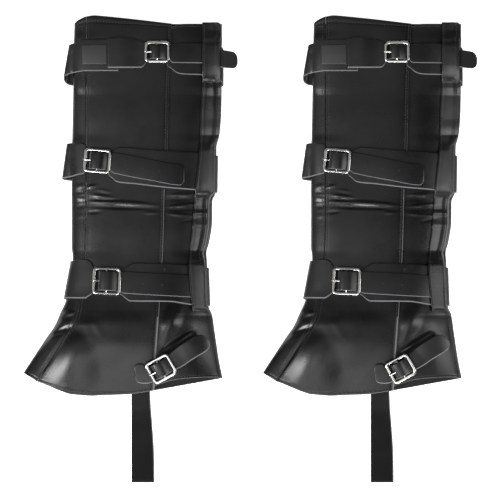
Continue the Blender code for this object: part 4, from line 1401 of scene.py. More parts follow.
BELTS = {
    "top": Belt(
        "top",
        tongue_top=((-26, 242.2), (-12, 243.4), (-4, 242.1), (15, 238.4), (20, 234.4), (44, 234.4),
                    (52, 235.0), (80, 235.4), (105, 229.0), (112, 227.9), (117, 227.0), (120, 225.4),
                    (122, 222.4), (123, 219.0), (123.3, 217.2)),
        tongue_low=((-26, 207.9), (-15, 207.9), (8, 207.2), (16, 210.6), (20, 218.4), (42, 217.4),
                    (48, 213.8), (82, 213.4), (105, 208.6), (112, 207.7), (117, 207.3), (120, 208.2),
                    (122, 210.4), (123, 213.2), (123.3, 215.2)),
        fixed_top=((30, 234.4), (45, 234.6), (60, 235.6), (80, 236.4), (104, 234.0)),
        fixed_low=((30, 218.4), (37, 214.2), (46, 207.6), (54, 201.8), (60, 200.6), (81, 199.9),
                   (104, 194.0)),
        loop_x=(-70.6, -76.9), loop_y=(236.4, 202.0), loop_start=(-56.0, -56.0),
        far_front=(230.0, 187.5), far_rear=(227.5, 186.5), tail_end=123.0,
    ),
    "middle": Belt(
        "middle",
        tongue_top=((-58, 122.2), (-53, 121.6), (-48, 112.0), (-20, 110.9), (14, 105.0),
                    (46, 98.4), (58, 96.4), (61, 92.0)),
        tongue_low=((-58, 84.9), (-54, 86.5), (-49, 91.5), (-20, 87.2), (-8, 84.5), (23, 78.7),
                    (57, 73.3), (61, 78.0)),
        fixed_top=((-21, 112.9), (-11, 117.2), (10, 115.7), (52, 112.4), (80, 110.6), (98, 108.0)),
        fixed_low=((-24, 84.0), (-21, 81.6), (-17, 77.6), (-12, 76.2), (5, 74.6), (37, 70.8),
                   (76, 67.4), (98, 64.6)),
        loop_x=(-73.0, -78.6), loop_y=(121.9, 82.3), loop_start=(-58.0, -58.0),
        far_front=(119.5, 78.4), far_rear=(107.0, 64.5), tail_end=61.0,
    ),
    "bottom": Belt(
        "bottom",
        tongue_top=((-59, -11.0), (-51, -11.2), (-46, -14.0), (-39, -24.0), (-10, -25.3),
                    (60, -29.3), (84, -31.0)),
        tongue_low=((-65, -56.6), (-52, -56.6), (-48, -54.4), (-39, -48.5), (-10, -50.8),
                    (68, -55.4), (84, -56.4)),
        fixed_top=((-10, -24.3), (5, -15.6), (66, -18.2), (88, -21.0)),
        fixed_low=((-10, -53.0), (0, -60.0), (42, -60.5), (70, -64.2), (88, -65.4)),
        loop_x=(-68.7, -76.7), loop_y=(-13.2, -56.4), loop_start=(-59.0, -65.5),
        far_front=(-14.5, -58.4), far_rear=(-21.5, -65.4), tail_end=84.0,
    ),
}


class Ground(Enum):
    """What a stretch of strap is measured from."""

    OUTER = "above the outer side's face"
    SURFACE = "above the surface that the covers lie on"


@dataclass(frozen=True)
class Stretch:
    """A stretch of strap: stations of (top x, top y, low x, low y, rise), and what they rise from."""

    stations: Array
    ground: Ground = Ground.OUTER
    camber: float = 0.4

    def points(self, form: Form, across: Array, step: float) -> Array:
        """Points on the strap's middle, at even steps along it.

        Args:
            form: The form that the cover's straps follow.
            across: Shares of the way from the top edge to the low one.
            step: How far apart the rows are, in mm.

        Returns:
            A grid of points, its rows along the strap.
        """
        fine = threaded(self.stations, step)
        x = fine[:, 0:1] + (fine[:, 2:3] - fine[:, 0:1]) * across
        y = fine[:, 1:2] + (fine[:, 3:4] - fine[:, 1:2]) * across
        rise = np.broadcast_to(fine[:, 4:5], x.shape)
        if self.ground is Ground.OUTER:
            return form.on_outer(x, y, rise + self.camber * (1.0 - (2.0 * across - 1.0) ** 2))
        return np.stack((x, y, rise), axis=-1)


@dataclass
class Straps:
    """The belts, the back strap that loops over them, the instep strap and the stirrup."""

    form: Form
    wardrobe: Wardrobe
    seams: list[Seam] = field(default_factory=list)
    thickness: float = 1.5
    column_step: float = 2.6
    fewest_columns: int = 6
    soften_rows: int = 7
    base: float = 1.1
    tail_base: float = 2.95
    tail_sag: float = 0.5
    tail_y: float = 220.0
    tongue_in: float = 13.4
    tongue_out: float = 17.0
    wrap_out: float = 12.0
    slot_end: float = 3.6
    rear_margin: float = 6.5
    loop_shares: tuple[float, ...] = (0.42, 0.7, 1.0)
    loop_rate: float = 0.7
    band_end: float = -14.0
    tongue_start: float = -26.0
    tongue_settle: float = 26.0
    band_top: Table = ((-66.0, 239.0), (-57.0, 240.9), (-14.0, 241.5))
    band_low: Table = ((-66.0, 203.2), (-57.0, 204.4), (-14.0, 204.4))
    patch_inset: tuple[float, float] = (6.5, 8.0)
    patch_t: float = 0.6
    patch_gap: float = 0.3
    back_head: tuple[float, ...] = (260.6, 260.3, 259.9)
    back_run: tuple[float, float, float] = (259.2, -70.2, -1.2)
    back_foot: tuple[float, ...] = (-70.3, -70.75, -71.0)
    back_corner_from: float = 256.2
    back_corner: float = 4.5
    steepest: float = 1.45
    strap_rise: Table = (
        (261, 1.15), (246, 1.15), (242, 1.6), (238, 4.2), (233, 5.3), (222, 5.6), (212, 5.5),
        (205, 5.0), (200, 4.1), (196, 2.9), (193.4, 1.6), (192.4, 1.15), (170, 1.3), (151, 1.15),
        (138, 1.5), (130, 1.15), (124, 1.3), (118, 2.5), (112, 3.3), (90, 3.7), (76, 3.5),
        (69, 3.0), (64.6, 2.0), (62.6, 1.15), (60, 1.15), (55.5, 1.7), (50, 1.25), (45.6, 1.15),
        (41.2, 2.0), (37.6, 1.15), (32, 1.35), (27.4, 1.7), (23, 1.15), (12, 1.4), (2, 1.15),
        (-6, 1.6), (-11, 2.0), (-18, 4.9), (-40, 5.2), (-66, 5.0), (-71, 3.4),
    )
    strap_reach: Table = (
        (261, 2.6), (245, 3.0), (240, 1.8), (196, 1.8), (189, 3.3), (130, 3.3), (122, 2.0),
        (112, 1.8), (66, 1.8), (60, 0.6), (40, 0.4), (10, 0.4), (-12, 1.2), (-71, 1.8),
    )
    roll: float = 1.7
    roll_middle: float = 3.6
    roll_half: float = 4.4
    roll_until: float = 3.4
    roll_fade: float = 1.6
    instep_start: Table = (
        (4.6, -136.0, 6.0, -149.0, 1.1), (5.6, -133.2, 7.4, -151.6, 1.1),
        (7.4, -131.6, 10.4, -153.6, 1.1), (12.5, -131.0, 17.4, -154.2, 1.1),
        (17.0, -133.2, 23.0, -153.2, 1.1),
    )
    instep_tail: Table = (
        (16.0, 9.6, 2.95), (24.0, 10.6, 3.4), (34.0, 10.8, 5.0), (44.0, 10.8, 6.8),
        (52.0, 10.6, 8.2), (55.5, 9.6, 8.8), (58.0, 7.6, 9.2), (59.4, 5.0, 9.4), (59.9, 2.2, 9.5),
    )
    instep_veer: float = 4.0
    instep_veer_from: float = 14.0
    instep_veer_over: float = 20.0
    instep_seam_inset: float = 1.6
    instep_tab_end: Table = ((12.0, 9.0, 1.15), (20.0, 9.0, 1.1), (34.0, 9.0, 1.1))
    stirrup_top: float = -150.0
    stirrup_hem: float = -166.0
    stirrup_end: float = -268.6
    stirrup_middle: float = 12.0
    ply_gap: float = 0.5
    stirrup_front: Table = ((-150.0, 0.7), (-268.0, 0.8))
    stirrup_rear: Table = ((-150.0, 22.0), (-166.0, 22.4), (-192.0, 23.8), (-220.0, 26.4),
                           (-268.0, 27.4))

    def dress(self) -> list[bpy.types.Material]:
        """The straps' materials: smooth leather on both sides and pale cut edges."""
        return [self.wardrobe.strap, self.wardrobe.strap, self.wardrobe.cut_edge]

    def patch_dress(self) -> list[bpy.types.Material]:
        """The patch's materials: duller, brushed leather all over."""
        return [self.wardrobe.patch] * 3

    def strip(self, name: str, grid: Array, spread: Spread, thickness: float,
              pale: int = 3) -> bpy.types.Mesh:
        """A strap of even thickness about a grid of points on its middle, with a soft rim.

        Args:
            name: The mesh's name.
            grid: The points, rows along the strap and columns from its top edge to its low one.
            spread: The columns' rims.
            thickness: How thick the strap is, in mm.
            pale: How many columns at its low edge, the one that faces the lights, are painted in the
                cut edge's pale colour as painted highlight.

        Returns:
            The strap's mesh.
        """
        rim = Rim.CUT.thickness
        share = np.ones(len(grid))
        share[:len(rim)], share[-len(rim):] = rim, rim[::-1]
        share = np.minimum(spread.thickness[None, :], share[:, None])[..., None]
        half = thickness / 2.0 * share * grid_normals(grid)
        # The cut edge's pale core is its own colour, but it is painted only where light meets it, at
        # the low edge and the free end, as painted highlight; the top edge and the start take the dark
        # face as painted shade
        cells = rim_cells(*grid.shape[:2])
        cells[:2] = Layer.FACE.value
        cells[:, :2] = Layer.FACE.value
        cells[2:, -2:] = Layer.FACE.value
        if pale:
            cells[2:, -pale:] = Layer.EDGE.value
        else:
            cells[-2:] = Layer.FACE.value
        return sheet_mesh(name, grid + half, grid - half, cells)

    def sewn(self, name: str, stretches: list[Stretch], width: float, step: float = 1.3,
             thickness: float | None = None, soften: int = 2,
             form: Form | None = None) -> bpy.types.Mesh:
        """Makes a strap out of its stretches, one after the other.

        Args:
            name: The mesh's name.
            stretches: The stretches, in order along the strap.
            width: About how wide the strap is, in mm.
            step: How far apart its rows are, in mm.
            thickness: How thick it is, if not as thick as the belts.
            soften: How often the strap's line is evened out where two stretches meet.
            form: The form that it follows, if not the panels' own.

        Returns:
            The strap's mesh.
        """
        columns = max(self.fewest_columns, int(width / self.column_step))
        spread = Spread.over(width, columns, Rim.CUT, Rim.CUT)
        parts = [part.points(form or self.form, spread.distance, step) for part in stretches]
        grid = np.concatenate(parts)
        ends = np.cumsum([len(part) for part in parts])[:-1]
        for end in ends:
            low = max(end - self.soften_rows, 1)
            high = min(end + self.soften_rows, len(grid) - 1)
            for _ in range(soften):
                grid[low:high] = (grid[low - 1:high - 1] + 2.0 * grid[low:high]
                                  + grid[low + 1:high + 1]) / 4.0
        rim = Rim.CUT.distance
        start, finish = grid[1] - grid[0], grid[-2] - grid[-1]
        unit = start / np.linalg.norm(start, axis=-1, keepdims=True)
        back = finish / np.linalg.norm(finish, axis=-1, keepdims=True)
        head = grid[0] + unit * rim[:-1, None, None]
        foot = grid[-1] + back * rim[-2::-1, None, None]
        grid = np.concatenate((head, grid[1:-1], foot))
        return self.strip(name, grid, spread, thickness or self.thickness)

    def through(self, buckle: Buckle, table: Table, slot_end: float = -math.inf) -> Array:
        """Makes the stations of a strap through a buckle.

        Args:
            buckle: The buckle.
            table: The strap's (reach, rise) pairs along the buckle's axis.
            slot_end: The reach up to which the pairs don't grow with the buckle.

        Returns:
            The stations.
        """
        turn = math.radians(buckle.turn)
        rows = []
        for s, rise in table:
            reach = s * buckle.reach if s > slot_end else s
            rows.append((*self.beside(buckle, turn, reach, buckle.strap / 2.0), rise))
        return np.array(rows)

    @staticmethod
    def beside(buckle: Buckle, turn: float, reach: float, half: float) -> tuple[float, ...]:
        """Finds the two edges of a strap at a reach from a buckle.

        Args:
            buckle: The buckle.
            turn: The way that the strap runs, from the X axis, in radians.
            reach: How far from the buckle's bar, in mm.
            half: Half the strap's width.

        Returns:
            The top edge's x and y and the low edge's.
        """
        x, y = buckle.x + reach * math.cos(turn), buckle.y + reach * math.sin(turn)
        side = (-math.sin(turn) * half, math.cos(turn) * half)
        return x + side[0], y + side[1], x - side[0], y - side[1]

    @staticmethod
    def edges(top: Table, low: Table, start: float, end: float, rise: float,
              step: float = 4.0) -> Array:
        """Stations along X between two edges."""
        x = np.linspace(start, end, max(2, int(abs(end - start) / step) + 1))
        return np.column_stack((x, smooth(top, x), x, smooth(low, x), np.full(len(x), rise)))

    def fixed_run(self, belt: Belt, buckle: Buckle) -> list[Stretch]:
        """From the folded end at the buckle to the rear edge.

        Args:
            belt: The belt.
            buckle: Its buckle.

        Returns:
            The one stretch of this run.
        """
        start = buckle.x + self.wrap_out * buckle.reach
        rear_y = (belt.fixed_top[-1][1] + belt.fixed_low[-1][1]) / 2.0
        end = smooth_at(REAR_EDGE, rear_y) - self.rear_margin
        lying = self.edges(belt.fixed_top, belt.fixed_low, start, end, self.base)
        return [Stretch(np.concatenate((self.through(buckle, WRAP_RISE, self.slot_end), lying)))]

    def round_leg(self, belt: Belt) -> list[Stretch]:
        """Round the rear edge, under the cover and up round the front edge.

        Args:
            belt: The belt.

        Returns:
            The stretch round the rear edge and the one round the front edge.
        """
        top, low = belt.fixed_top[-1][1], belt.fixed_low[-1][1]
        rear = []
        for reach, z, share in REAR_TURN:
            y_top = top + (belt.far_rear[0] - top) * share
            y_low = low + (belt.far_rear[1] - low) * share
            x_top, x_low = smooth_at(REAR_EDGE, y_top), smooth_at(REAR_EDGE, y_low)
            rear.append((x_top + reach, y_top, x_low + reach, y_low, z))
        front = []
        for share, z, turn in FRONT_TURN:
            x_top, x_low = (x + (start - x) * share for x, start in zip(belt.loop_x, belt.loop_start))
            y_top, y_low = (far + (y - far) * turn for far, y in zip(belt.far_front, belt.loop_y))
            front.append((x_top, y_top, x_low, y_low, z))
        return [Stretch(np.array(stations), Ground.SURFACE) for stations in (rear, front)]

    def over_front(self, belt: Belt, lying: Array) -> Array:
        """Leads a belt's loop from the front edge onto the outer side.

        Args:
            belt: The belt.
            lying: The stations that lie on the outer side.

        Returns:
            The loop's stations, with those that lie there after them.
        """
        rows = []
        first = self.loop_shares[0]
        for share in self.loop_shares:
            x_top, x_low = (x + (start - x) * share for x, start in zip(belt.loop_x, belt.loop_start))
            y_top, y_low = (y + (after - y) * (share - first) / self.loop_rate
                            for y, after in zip(belt.loop_y, (lying[0, 1], lying[0, 3])))
            rows.append((x_top, y_top, x_low, y_low, self.base))
        return np.concatenate((rows, lying))

    def belt(self, belt: Belt) -> Piece:
        """A belt in one strap: round the bar, the rear edge, the far side and the buckle.

        Args:
            belt: The belt.

        Returns:
            The belt's piece.
        """
        buckle = BUCKLES[belt.name]
        scale = buckle.reach
        lying = self.edges(belt.tongue_top, belt.tongue_low, belt.loop_start[0] + 4.0,
                           buckle.x - self.tongue_in * scale, self.base, 3.0)
        tail = self.edges(belt.tongue_top, belt.tongue_low, buckle.x + self.tongue_out * scale,
                          belt.tail_end, self.tail_base, 2.0)
        bridge = self.through(buckle, TONGUE_RISE)
        stations = np.concatenate((self.over_front(belt, lying), bridge, tail))
        stretches = self.fixed_run(belt, buckle) + self.round_leg(belt) + [Stretch(stations)]
        mesh = self.sewn(f"{belt.name}_belt", stretches, 34.0)
        return Piece(f"{belt.name}_belt_strap", mesh, self.dress(), (f"{belt.name}_belt",),
                     Slot.STRAP, (0.045, 0.46), 0.018, Held.LAID, ("front_panel_cloth",))

    def top_belt(self) -> list[Piece]:
        """The top belt: its band round the leg, its tongue and the patch on the band.

        Returns:
            The three pieces.
        """
        belt, buckle = BELTS["top"], BUCKLES["top"]
        scale = buckle.reach
        lying = self.edges(self.band_top, self.band_low, belt.loop_start[0] + 3.0, self.band_end,
                           self.base)
        band = self.fixed_run(belt, buckle) + self.round_leg(belt)
        band.append(Stretch(self.over_front(belt, lying)))
        # The tongue starts on the band, comes down past its end, and stands free past the cover's edge
        start = self.edges(belt.tongue_top, belt.tongue_low, self.tongue_start, self.band_end + 1.0,
                           self.tail_base)
        down = self.edges(belt.tongue_top, belt.tongue_low, self.band_end + self.tongue_settle,
                          buckle.x - self.tongue_in * scale, self.base)
        edge = smooth_at(REAR_EDGE, self.tail_y) - self.form.flange - 0.5
        tail = self.edges(belt.tongue_top, belt.tongue_low, buckle.x + self.tongue_out * scale,
                          edge, self.tail_base)
        level = float(self.form.height(np.float64(edge), np.float64(self.tail_y))) + self.tail_base
        free = self.edges(belt.tongue_top, belt.tongue_low, edge + 4.0, belt.tail_end, level, 1.0)
        free[:, 4] -= self.tail_sag * (free[:, 0] - edge) / (belt.tail_end - edge)
        tongue = [Stretch(np.concatenate((start, down, self.through(buckle, TONGUE_RISE), tail))),
                  Stretch(free, Ground.SURFACE)]
        patch = self.edges(
            tuple((x, y - self.patch_inset[0]) for x, y in self.band_top),
            tuple((x, y + self.patch_inset[1]) for x, y in self.band_low),
            belt.loop_start[0] + 1.0, self.tongue_start - 1.0,
            self.base + self.thickness / 2.0 + self.patch_gap + self.patch_t / 2.0)
        return [
            Piece("top_belt_strap", self.sewn("top_belt", band, 34.0), self.dress(), ("top_belt",),
                  Slot.STRAP, (0.037, 0.357), None, Held.LAID, ("front_panel_cloth",)),
            Piece("top_tongue_strap", self.sewn("top_tongue", tongue, 24.0), self.dress(),
                  ("top_tongue",), Slot.STRAP, (0.036, 0.152), 0.00386, Held.LAID,
                  ("top_belt_strap",)),
            Piece("top_patch_strap", self.sewn("top_patch", [Stretch(patch)], 22.0, 1.3, self.patch_t),
                  self.patch_dress(), ("top_patch",), Slot.STRAP, (0.023, 0.03), None, Held.LAID,
                  ("top_belt_strap",)),
        ]

    def back_strap(self) -> Piece:
        """The strap stitched down the rear edge, standing over the belts as their loops.

        Returns:
            The strap's piece.
        """
        y = np.concatenate((self.back_head, np.arange(*self.back_run), self.back_foot))
        rise = smooth(self.strap_rise, y)
        left = smooth(STRAP_FRONT, y)
        past = np.clip((y - self.back_corner_from) / self.back_corner, 0.0, 0.999)
        corner = self.back_corner * (1.0 - np.sqrt(1.0 - past**2))
        right = smooth(REAR_EDGE, y) - self.form.flange + smooth(self.strap_reach, y) - corner
        spread = Spread.over(right - left, 7, Rim.STITCHED, Rim.ROLLED)
        x = left[:, None] + (right - left)[:, None] * spread.distance
        # Where it is sewn down, its rear edge is rolled over the seam; a loop lies flat
        inside = (right[:, None] - x - self.roll_middle) / self.roll_half
        sewn = np.clip((self.roll_until - rise) / self.roll_fade, 0.0, 1.0)[:, None]
        rolled = (self.roll * bump(inside) - spread.sink[None, :]) * sewn
        y = np.broadcast_to(y[:, None], x.shape)
        steep = np.minimum(1.0 / self.form.normal(x, y)[..., 2], self.steepest)
        z = self.form.height(x, y) + rise[:, None] * steep + rolled
        z[:, 1:-1] = (z[:, :-2] + 2.0 * z[:, 1:-1] + z[:, 2:]) / 4.0
        grid = np.stack((x, y, z), axis=-1)
        lines = (grid[:, Rim.STITCHED.stitch_row], grid[:, -1 - Rim.ROLLED.stitch_row])
        self.seams += [Seam("back_strap_leather", line) for line in lines]
        mesh = self.strip("back_strap", grid, spread, self.thickness, 0)
        return Piece("back_strap_leather", mesh, self.dress(), ("back_strap",), Slot.STRAP,
                     (0.0215, 0.34), None, Held.LAID, ("rear_panel_cloth",))

    def veered(self, buckle: Buckle, table: Table) -> Array:
        """Makes stations that veer a little from the buckle's axis, far from it.

        Args:
            buckle: The buckle.
            table: The strap's (reach, half width, rise) rows.

        Returns:
            The stations.
        """
        rows = []
        for s, half, rise in table:
            far = min(max((s - self.instep_veer_from) / self.instep_veer_over, 0.0), 1.0)
            turn = math.radians(buckle.turn) + math.radians(self.instep_veer) * far
            rows.append((*self.beside(buckle, turn, s, half), rise))
        return np.array(rows)

    def instep(self) -> list[Piece]:
        """The instep strap with its lifted tail, and the tab that holds its buckle.

        Returns:
            The two pieces.
        """
        buckle = BUCKLES["instep"]
        start, inset = np.array(self.instep_start), self.instep_seam_inset
        strap = np.concatenate((start, self.through(buckle, TONGUE_RISE),
                                self.veered(buckle, self.instep_tail)))
        outline = np.concatenate((start[::-1, 0:2] + (inset, -inset), start[:, 2:4] + (inset, inset)))
        self.seams.append(Seam("instep_strap_leather", outline, 2.8))
        tab = np.concatenate((self.through(buckle, WRAP_RISE, self.slot_end),
                              self.veered(buckle, self.instep_tab_end)))
        # The strap bridges the hollow beside it, so it follows the form without it
        bridged = Form(creases=CREASES)
        return [
            Piece("instep_strap_leather",
                  self.sewn("instep_strap", [Stretch(strap)], 20.0, 1.0, form=bridged),
                  self.dress(), ("instep_strap",), Slot.STRAP, (0.0215, 0.105), None, Held.LAID,
                  ("front_panel_cloth",)),
            Piece("instep_tab_leather", self.sewn("instep_tab", [Stretch(tab)], 18.0, 0.8),
                  self.dress(), ("instep_tab",), Slot.STRAP, (0.0185, 0.054), None, Held.LAID,
                  ("rear_panel_cloth",)),
        ]

    def stirrup(self) -> Piece:
        """The doubled strap below the hem, its plies sewn inside the outer and the inner side.

        Returns:
            The strap's piece.
        """
        form, half = self.form, self.thickness / 2.0
        top, hem = self.stirrup_top, self.stirrup_hem
        above, at_hem = (float(form.height(np.float64(self.stirrup_middle), np.float64(y)))
                         for y in (top, hem))
        hem_z = at_hem - 2.0 * (form.panel_t + form.gap) - self.thickness - self.ply_gap
        near, rise = half + self.thickness + self.ply_gap, above - at_hem
        fold = (near - half) / 2.0
        turn_y = self.stirrup_end + half + fold
        # As (y, z): down from inside the hem in the upper ply, round the fold, and back in the lower
        rows = [(top, hem_z + rise), (-158.0, hem_z + rise * 0.5), (hem, hem_z),
                (-176.0, hem_z * 0.55 + near * 0.45), (-188.0, near + 0.6), (-202.0, near),
                (-235.0, near), (turn_y + 0.6, near)]
        for degrees in (60.0, 20.0, -20.0, -60.0):
            angle = math.radians(degrees)
            rows.append((turn_y - fold * math.cos(angle), half + fold + fold * math.sin(angle)))
        rows += [(turn_y + 0.6, half), (-235.0, half), (-202.0, half), (-180.0, half),
                 (-171.0, form.panel_t + form.gap + half), (top, form.panel_t + form.gap + half)]
        sides = self.stirrup_front, self.stirrup_rear
        stations = np.array([(smooth_at(sides[0], y), y, smooth_at(sides[1], y), y, z)
                             for y, z in rows])
        mesh = self.sewn("stirrup", [Stretch(stations, Ground.SURFACE)], 24.0, 0.9)
        # The stirrup's leather is painted darker than the straps' as painted shade
        dress = [self.wardrobe.dull, self.wardrobe.dull, self.wardrobe.cut_edge]
        return Piece("stirrup_leather", mesh, dress, ("stirrup",), Slot.STRAP,
                     (0.0265, 0.228), None, Held.FOLDED, ("inner_panel_cloth",))

    def build(self) -> list[Piece]:
        """Makes every strap."""
        return [self.back_strap(), *self.top_belt(), self.belt(BELTS["middle"]),
                self.belt(BELTS["bottom"]), *self.instep(), self.stirrup()]


# ------------------------ thread and punched holes


@dataclass(frozen=True)
class Hole:
    """A hole punched in a strap: its place in mm, its radius and how long it is drawn out."""

    x: float
    y: float
    radius: float = 1.1
    stretch: float = 1.0
    turn: float = 0.0


HOLES = (
    Hole(-5.6, 95.9), Hole(13.7, 92.6), Hole(32.8, 90.4), Hole(21.9, 76.8, 1.2),
    Hole(39.2, -23.6, 0.8, 2.2, 80.0), Hole(14.0, -39.4, 1.0), Hole(36.0, -40.8, 1.0),
    Hole(64.3, -115.9, 1.2), Hole(51.4, -126.5, 1.2), Hole(41.4, -136.2, 1.2),
)


class Trim(Enum):
    """What is modelled once and copied along the pieces."""

    STITCH = "a stitch: a short round thread that rises out of the cloth"
    HOLE = "a hole: a pressed rim round a sunk bottom"


@dataclass
class Trims:
    """What is set down on the finished pieces: rows of stitches, and the straps' punched holes."""

    pieces: list[Piece]
    wardrobe: Wardrobe
    thread_r: float = 0.3
    thread_rise: float = 0.3
    stitch: float = 2.4
    stitch_limit: float = 1.5
    hole_rise: float = 0.06
    drop_from: float = 0.1
    tree: BVHTree = field(init=False)
    owners: list[str] = field(init=False)

    def __post_init__(self) -> None:
        """Gathers the pieces' faces, so that a point can be dropped on the topmost one."""
        points, faces, self.owners = [], [], []
        for piece in self.pieces:
            start = len(points)
            points += [vertex.co.copy() for vertex in piece.mesh.vertices]
            faces += [[start + i for i in face.vertices] for face in piece.mesh.polygons]
            self.owners += [piece.name] * len(piece.mesh.polygons)
        self.tree = BVHTree.FromPolygons(points, faces)

    def drop(self, x: float, y: float) -> tuple[Vector, Vector, str] | None:
        """Finds the topmost face under a place.

        Args:
            x: The place from the toe to the heel, in mm.
            y: The place up the leg.

        Returns:
            Where it is met, in metres, its normal and its piece, or None beside the cover.
        """
        above = Vector((x * MM, y * MM, self.drop_from))
        place, normal, face, _ = self.tree.ray_cast(above, Vector((0, 0, -1)))
        return None if place is None else (place, normal, self.owners[face])

    @staticmethod
    def template(trim: Trim) -> tuple[Array, list[list[int]]]:
        """Models one stitch or hole about the origin.

        Args:
            trim: Which one.

        Returns:
            Its points, in units of its own size, and its faces.
        """
        ops = bpy.ops
        ops.object.select_all(action="DESELECT")
        if trim is Trim.STITCH:
            ops.mesh.primitive_uv_sphere_add(segments=6, ring_count=4, radius=1.0,
                                             rotation=(0.0, math.pi / 2.0, 0.0))
        else:
            ops.mesh.primitive_circle_add(vertices=14, radius=1.0, fill_type="NGON")
            ops.object.mode_set(mode="EDIT")
            ops.mesh.select_all(action="SELECT")
            ops.mesh.inset(thickness=0.22, depth=0.12)
            ops.mesh.inset(thickness=0.2, depth=-0.16)
            ops.object.mode_set(mode="OBJECT")
        made = bpy.context.object
        ops.object.transform_apply(location=False, rotation=True, scale=True)
        points = np.array([vertex.co[:] for vertex in made.data.vertices])
        # A primitive's points and faces can come in another order in each run, so they are sorted
        order = np.lexsort(np.round(points, 4).T)
        rank = np.argsort(order).tolist()
        faces = []
        for face in made.data.polygons:
            corners = [rank[i] for i in face.vertices]
            first = corners.index(min(corners))
            faces.append(corners[first:] + corners[:first])
        bpy.data.objects.remove(made)
        return points[order], sorted(faces)

    @staticmethod
    def repeated(name: str, points: Array, faces: list[list[int]],
                 frames: list[Matrix]) -> bpy.types.Mesh:
        """Copies a template's points to each frame, all in one mesh.

        Args:
            name: The mesh's name.
            points: The template's points.
            faces: Its faces.
            frames: Where each copy goes, as matrices of metres.

        Returns:
            The mesh.
        """
        every, all_faces = [], []
        for number, place in enumerate(frames):
            turned = np.array(place)
            every.append(points @ turned[:3, :3].T + turned[:3, 3])
            all_faces += [[number * len(points) + i for i in face] for face in faces]
        mesh = bpy.data.meshes.new(name)
        mesh.from_pydata(np.concatenate(every).tolist(), [], all_faces)
        mesh.shade_smooth()
        return mesh

    def stitches(self, name: str, seams: list[Seam]) -> Piece:
        """Sews the stitches of one piece's seams, left out where something lies over them.

        Args:
            name: The name of the stitches' piece.
            seams: The seams.

        Returns:
            The stitches.
        """
        frames = []
        for seam in seams:
            line = np.asarray(seam.line, float)[:, :2]
            run = np.concatenate(([0.0], np.cumsum(np.linalg.norm(np.diff(line, axis=0), axis=1))))
            for at in np.arange(seam.pitch, run[-1] - seam.pitch / 2.0, seam.pitch):
                ends = np.array((at - self.stitch / 2.0, at + self.stitch / 2.0))
                x, y = (np.interp(ends, run, line[:, axis]).tolist() for axis in (0, 1))
                met = [self.drop(*end) for end in zip(x, y)]
                if any(one is None or one[2] != seam.piece for one in met):
                    continue
                along = met[1][0] - met[0][0]
                if along.length > self.stitch_limit * self.stitch * MM:
                    continue
                up = (met[0][1] + met[1][1]).normalized()
                side = up.cross(along).normalized()
                middle = (met[0][0] + met[1][0]) / 2.0 + up * self.thread_r * self.thread_rise * MM
                turned = Matrix((along / 2.0, side * self.thread_r * MM, up * self.thread_r * MM))
                frames.append(Matrix.Translation(middle) @ turned.transposed().to_4x4())
        mesh = self.repeated(name, *self.template(Trim.STITCH), frames)
        return Piece(name, mesh, [self.wardrobe.thread])

    def holes(self) -> Piece:
        """The straps' punched holes, each a pressed rim round a sunk bottom, all painted dark as the
        hole's shade.

        Returns:
            The holes.
        """
        frames = []
        for hole in HOLES:
            met = self.drop(hole.x, hole.y)
            if met is None:
                continue
            place, up, _ = met
            turn = math.radians(hole.turn)
            along = Vector((math.cos(turn), math.sin(turn), 0.0))
            side = up.cross(along).normalized()
            along = side.cross(up) * hole.radius * hole.stretch * MM
            turned = Matrix((along, side * hole.radius * MM, up * hole.radius * MM))
            middle = place + up * self.hole_rise * MM
            frames.append(Matrix.Translation(middle) @ turned.transposed().to_4x4())
        mesh = self.repeated("strap_holes", *self.template(Trim.HOLE), frames)
        return Piece("strap_holes", mesh, [self.wardrobe.hole], slot=Slot.STRAP)

    def build(self, seams: list[Seam]) -> list[Piece]:
        """Makes the stitches of each sewn piece, and the holes.

        Args:
            seams: All seams of the cover.

        Returns:
            One piece of stitches for each piece that is sewn, and the holes.
        """
        names = list(dict.fromkeys(seam.piece for seam in seams))
        made = [self.stitches(f"{name.rsplit('_', 1)[0]}_stitches",
                              [seam for seam in seams if seam.piece == name]) for name in names]
        return made + [self.holes()]


# ------------------------ the studio


@dataclass(frozen=True)
class Softbox:
    """A soft light: where it hangs and its width and height, in metres, and its power in watts."""

    name: str
    place: tuple[float, float, float]
    size: tuple[float, float]
    watts: float

    def hang(self) -> None:
        """Hangs the light, so that it faces the middle of the pair."""
        data = bpy.data.lights.new(self.name, "AREA")
        data.shape = "RECTANGLE"
        data.size, data.size_y = self.size
        data.energy = self.watts
        lamp = bpy.data.objects.new(self.name, data)
        lamp.location = self.place
        lamp.rotation_euler = (-Vector(self.place)).to_track_quat("-Z", "Y").to_euler()
        bpy.context.scene.collection.objects.link(lamp)


# Black cloth shows only what it mirrors, so each light stands where one tilt of it looks
SOFTBOXES = (
    Softbox("ceiling_softbox", (-1.9, -0.3, 8.5), (4.4, 7.0), 54.0),
    Softbox("hem_softbox", (-0.18, -2.03, 4.57), (1.6, 1.6), 26.0),
    Softbox("toe_softbox", (-2.3, -1.45, 2.9), (1.3, 1.7), 170.0),
    Softbox("left_softbox", (-1.9, 0.2, 1.15), (0.8, 1.6), 2.0),
    Softbox("right_softbox", (1.85, -0.4, 1.3), (0.8, 1.6), 22.0),
    Softbox("far_softbox", (0.3, 2.0, 1.2), (1.7, 0.8), 3.0),
    Softbox("near_softbox", (0.2, -2.0, 1.1), (1.6, 0.8), 66.0),
)


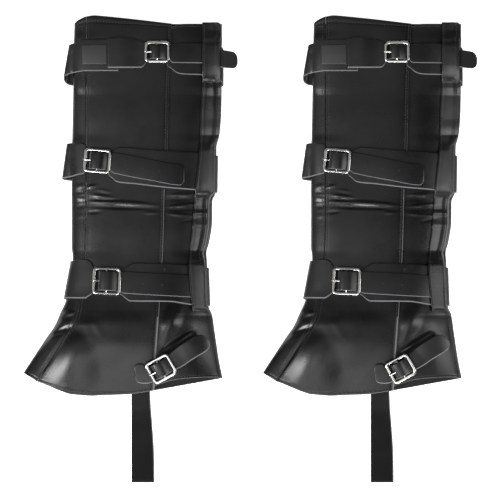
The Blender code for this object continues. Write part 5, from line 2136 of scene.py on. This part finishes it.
@dataclass(frozen=True)
class Studio:
    """A pale floor, soft lights and the camera straight above the pair; lengths are in metres."""

    view_width: float = 0.575
    camera_height: float = 8.0
    look_at: tuple[float, float] = (-0.00046, -0.00092)
    sensor_mm: float = 36.0
    clip_end: float = 20.0
    floor_size: float = 6.0
    floor_z: float = -0.0004
    floor_glow: float = 1.0
    ambient: float = 0.05

    def floor(self) -> None:
        """Lays a plain pale floor under the pair."""
        bpy.ops.object.select_all(action="DESELECT")
        bpy.ops.mesh.primitive_plane_add(size=self.floor_size, location=(0.0, 0.0, self.floor_z))
        floor = bpy.context.object
        floor.name = "floor"
        material = bpy.data.materials.new("white_paper")
        material.use_nodes = True
        shader = material.node_tree.nodes["Principled BSDF"]
        white = linear("#ffffff")
        for name, value in (("Base Color", white), ("Roughness", 0.9), ("Specular IOR Level", 0.0),
                            ("Emission Color", white), ("Emission Strength", self.floor_glow)):
            shader.inputs[name].default_value = value
        floor.data.materials.append(material)

    def camera(self) -> None:
        """Hangs the camera above the pair, with a long lens."""
        data = bpy.data.cameras.new("camera")
        data.sensor_width = self.sensor_mm
        data.lens = self.sensor_mm * self.camera_height / self.view_width
        data.clip_end = self.clip_end
        camera = bpy.data.objects.new("camera", data)
        camera.location = (*self.look_at, self.camera_height)
        bpy.context.scene.collection.objects.link(camera)
        bpy.context.scene.camera = camera

    def build(self) -> None:
        """Sets up the whole studio."""
        self.floor()
        for softbox in SOFTBOXES:
            softbox.hang()
        world = bpy.data.worlds.new("studio")
        world.use_nodes = True
        back = world.node_tree.nodes["Background"]
        back.inputs["Color"].default_value = (1.0, 1.0, 1.0, 1.0)
        back.inputs["Strength"].default_value = self.ambient
        bpy.context.scene.world = world
        bpy.context.scene.view_settings.view_transform = "Standard"
        self.camera()


def main() -> None:
    """Builds the pair and the studio, and logs how many faces each placed piece has."""
    logging.basicConfig(level=logging.INFO, format="%(name)s: %(message)s")
    form, wardrobe = Form(), Wardrobe()
    pieces: list[Piece] = []
    panels, straps = Panels(form, wardrobe), Straps(form, wardrobe)
    for assembly in (panels, straps, Hardware(form, wardrobe)):
        pieces += assembly.build()
    pieces += Trims(pieces, wardrobe).build(panels.seams + straps.seams)
    for side in Side:
        placed = {}
        for piece in pieces:
            made = piece.place(side)
            placed[made.name] = made
            log.info("%s: %d faces", made.name, len(made.data.polygons))
        for piece in pieces:
            piece.declare(side, placed)
    Studio().build()


if __name__ == "__main__":
    main()
